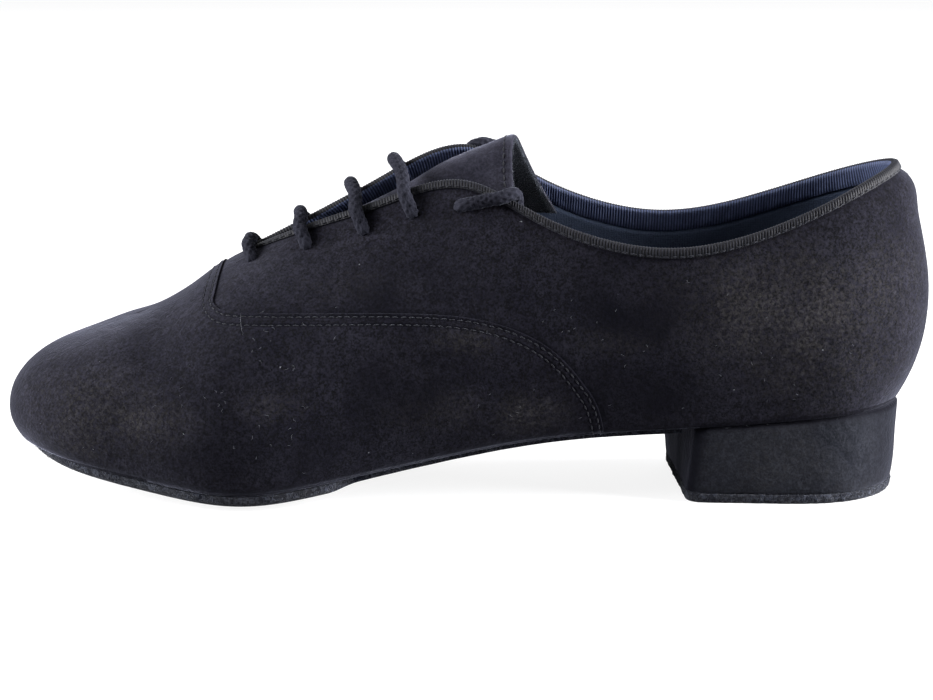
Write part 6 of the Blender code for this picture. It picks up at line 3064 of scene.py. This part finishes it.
@dataclass
class Lint:
    """Pale fibres that cling to the nubuck, each a thin bent thread lying on it."""

    builder: Builder
    skin: Skin
    finishes: Finishes
    radius: float = 0.000045
    rise: float = 0.00072
    knots: int = 7

    def build(self) -> None:
        """Makes one piece of all the fibres."""
        draw = np.random.default_rng(17)
        size = self.skin.last.sizes
        outer = self.skin.stations > 0.3
        points = self.skin.points[outer, self.skin.first_wall_row :].reshape(-1, 3)
        normals = self.skin.normals[outer, self.skin.first_wall_row :].reshape(-1, 3)
        tubes: list[Array] = []
        for row in LINT:
            for _ in range(row.fibres):
                aim = np.array([row.x * size.length, row.z * size.instep_height])
                aim = aim + draw.normal(size=2) * row.spread * 0.6
                near = ((points[:, [0, 2]] - aim) ** 2).sum(axis=1).argmin()
                normal = normals[near]
                angle = draw.uniform(0, 2 * math.pi) if row.fibres > 1 else 1.15
                side = unit(np.cross(normal, [0.0, 0.0, 1.0]))
                up = np.cross(side, normal)
                length = row.length * draw.uniform(0.6, 1.2)
                curl = draw.normal() * 1.6 if row.fibres > 1 else 0.35
                turn = np.linspace(angle, angle + curl, self.knots)[:, None]
                steps = (side * np.cos(turn) + up * np.sin(turn)) * length / self.knots
                line = points[near] + normal * self.rise + np.cumsum(steps, axis=0)
                thick = self.radius * np.sin(np.linspace(0.25, math.pi - 0.25, self.knots))[:, None]
                beside = unit(np.cross(normal, steps))
                ring = [line + thick * (normal * math.cos(a) + beside * math.sin(a)) for a in THIRDS]
                tubes.append(np.stack(ring, axis=1))
        faces: list[Face] = []
        for number in range(len(tubes)):
            faces += tube_faces(self.knots, len(THIRDS), number * self.knots * len(THIRDS))
        self.builder.piece(
            "lint_fibres",
            np.concatenate(tubes).reshape(-1, 3),
            faces,
            [self.finishes.lint],
            "upper_nubuck",
            sharp=math.pi,
        )


@dataclass(frozen=True)
class LightRow:
    """A square soft light: its side in metres and its power in watts."""

    name: str
    place: tuple[float, float, float]
    aim: tuple[float, float, float]
    side: float
    power: float


LIGHTS: tuple[LightRow, ...] = (
    LightRow("Overhead", (0.10, -0.35, 1.60), (0.10, 0.0, 0.0), 1.4, 8.0),
    LightRow("Toe side", (1.55, 0.12, 0.50), (0.15, 0.0, 0.05), 0.9, 100.0),
    LightRow("Heel side", (-1.45, 0.14, 0.52), (0.0, 0.0, 0.05), 0.9, 165.0),
    LightRow("Behind", (0.10, -1.60, 1.00), (0.10, 0.0, 0.05), 1.6, 12.0),
)


@dataclass
class Studio:
    """A pale floor, soft lights and the camera."""

    azimuth: float = 181.2
    elevation: float = 12.5
    distance: float = 0.740
    target: tuple[float, float, float] = (0.1035, 0.0, 0.0432)
    lens: float = 88.24
    floor_half: float = 40.0
    floor_tone: Colour = (0.20, 0.20, 0.205)
    floor_glow: float = 0.86
    world_tone: Colour = (0.93, 0.95, 1.0)
    world_strength: float = 0.17

    def build(self) -> None:
        """Sets the floor, lights and camera."""
        self._floor()
        self._world()
        for row in LIGHTS:
            self._light(row)
        self._camera()

    def _floor(self) -> None:
        """A wide plain floor."""
        half = self.floor_half
        mesh = bpy.data.meshes.new("studio_floor")
        corners = [(-half, -half, 0), (half, -half, 0), (half, half, 0), (-half, half, 0)]
        mesh.from_pydata(corners, [], [(0, 1, 2, 3)])
        material, board, shader = new_material("Studio floor")
        shader.inputs["Base Color"].default_value = (*self.floor_tone, 1.0)
        shader.inputs["Roughness"].default_value = 0.9
        shader.inputs["Specular IOR Level"].default_value = 0.1
        shader.inputs["Emission Color"].default_value = (1.0, 1.0, 1.0, 1.0)
        seen = board.add("ShaderNodeLightPath").outputs["Is Camera Ray"]
        board.feed(shader.inputs["Emission Strength"], board.math("MULTIPLY", seen, self.floor_glow))
        mesh.materials.append(material)
        floor = bpy.data.objects.new("studio_floor", mesh)
        bpy.context.scene.collection.objects.link(floor)

    def _world(self) -> None:
        """An even pale surround."""
        world = bpy.data.worlds.new("Studio")
        world.use_nodes = True
        ground = world.node_tree.nodes["Background"]
        ground.inputs["Color"].default_value = (*self.world_tone, 1.0)
        ground.inputs["Strength"].default_value = self.world_strength
        bpy.context.scene.world = world
        bpy.context.scene.view_settings.view_transform = "Standard"

    @staticmethod
    def _light(row: LightRow) -> None:
        """A square soft light.

        Args:
            row: Its name, place, aim, side and power.
        """
        data = bpy.data.lights.new(row.name, "AREA")
        data.shape = "SQUARE"
        data.size = row.side
        data.energy = row.power
        light = bpy.data.objects.new(row.name, data)
        light.location = row.place
        way = Vector(row.aim) - Vector(row.place)
        light.rotation_euler = way.to_track_quat("-Z", "Y").to_euler()
        bpy.context.scene.collection.objects.link(light)

    def _camera(self) -> None:
        """The camera at the shoe's outer side."""
        turn, rise = math.radians(self.azimuth), math.radians(self.elevation)
        level = math.cos(rise)
        back = Vector((math.sin(turn) * level, -math.cos(turn) * level, math.sin(rise)))
        data = bpy.data.cameras.new("Camera")
        data.lens = self.lens
        data.sensor_width = 36.0
        data.clip_end = 60.0
        camera = bpy.data.objects.new("Camera", data)
        camera.location = Vector(self.target) + back * self.distance
        camera.rotation_euler = (-back).to_track_quat("-Z", "Y").to_euler()
        bpy.context.scene.collection.objects.link(camera)
        bpy.context.scene.camera = camera


def main() -> None:
    """Dresses the shoe and sets the studio."""
    logging.basicConfig(level=logging.INFO, format="%(name)s %(message)s")
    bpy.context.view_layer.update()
    Studio().build()
    sizes = Sizes()
    last = Last(sizes)
    builder = Builder(last)
    finishes = Finishes(Effects())
    throat = Throat(last)
    Lacing(builder, throat, finishes).build()
    skin = Skin(last)
    upper = Upper(builder, skin, SeamLine(sizes), finishes)
    upper.build()
    binding = Binding(builder, last, finishes)
    binding.build()
    tongue = Tongue(builder, last, finishes)
    tongue.build()
    bottom = Bottom(builder, last, finishes)
    bottom.build()
    fuzz = Fuzz(builder, finishes)
    fuzz.build("sole_edge_fibres", *bottom.sole_fibres(0.00007), finishes.sole, "sole_suede")
    fuzz.build("heel_tip_fibres", *bottom.tip_fibres(0.00010), finishes.sole, "sole_suede")
    fuzz.build("tongue_edge_fibres", *tongue.edge_fibres(), finishes.fleece, "tongue_nubuck")
    Lint(builder, skin, finishes).build()
    stitches = Stitches(builder, finishes)
    rise = sizes.vamp_step + 0.00002
    rows = [row for inside in STITCH_ROWS for row in upper.seam_row(inside, rise)]
    stitches.build("vamp_stitches", rows, "upper_nubuck")
    stitches.build("binding_stitches", [binding.stitch_row()], "binding_tape")
    stitches.build("tongue_stitches", tongue.stitch_rows(), "tongue_nubuck")


if __name__ == "__main__":
    main()
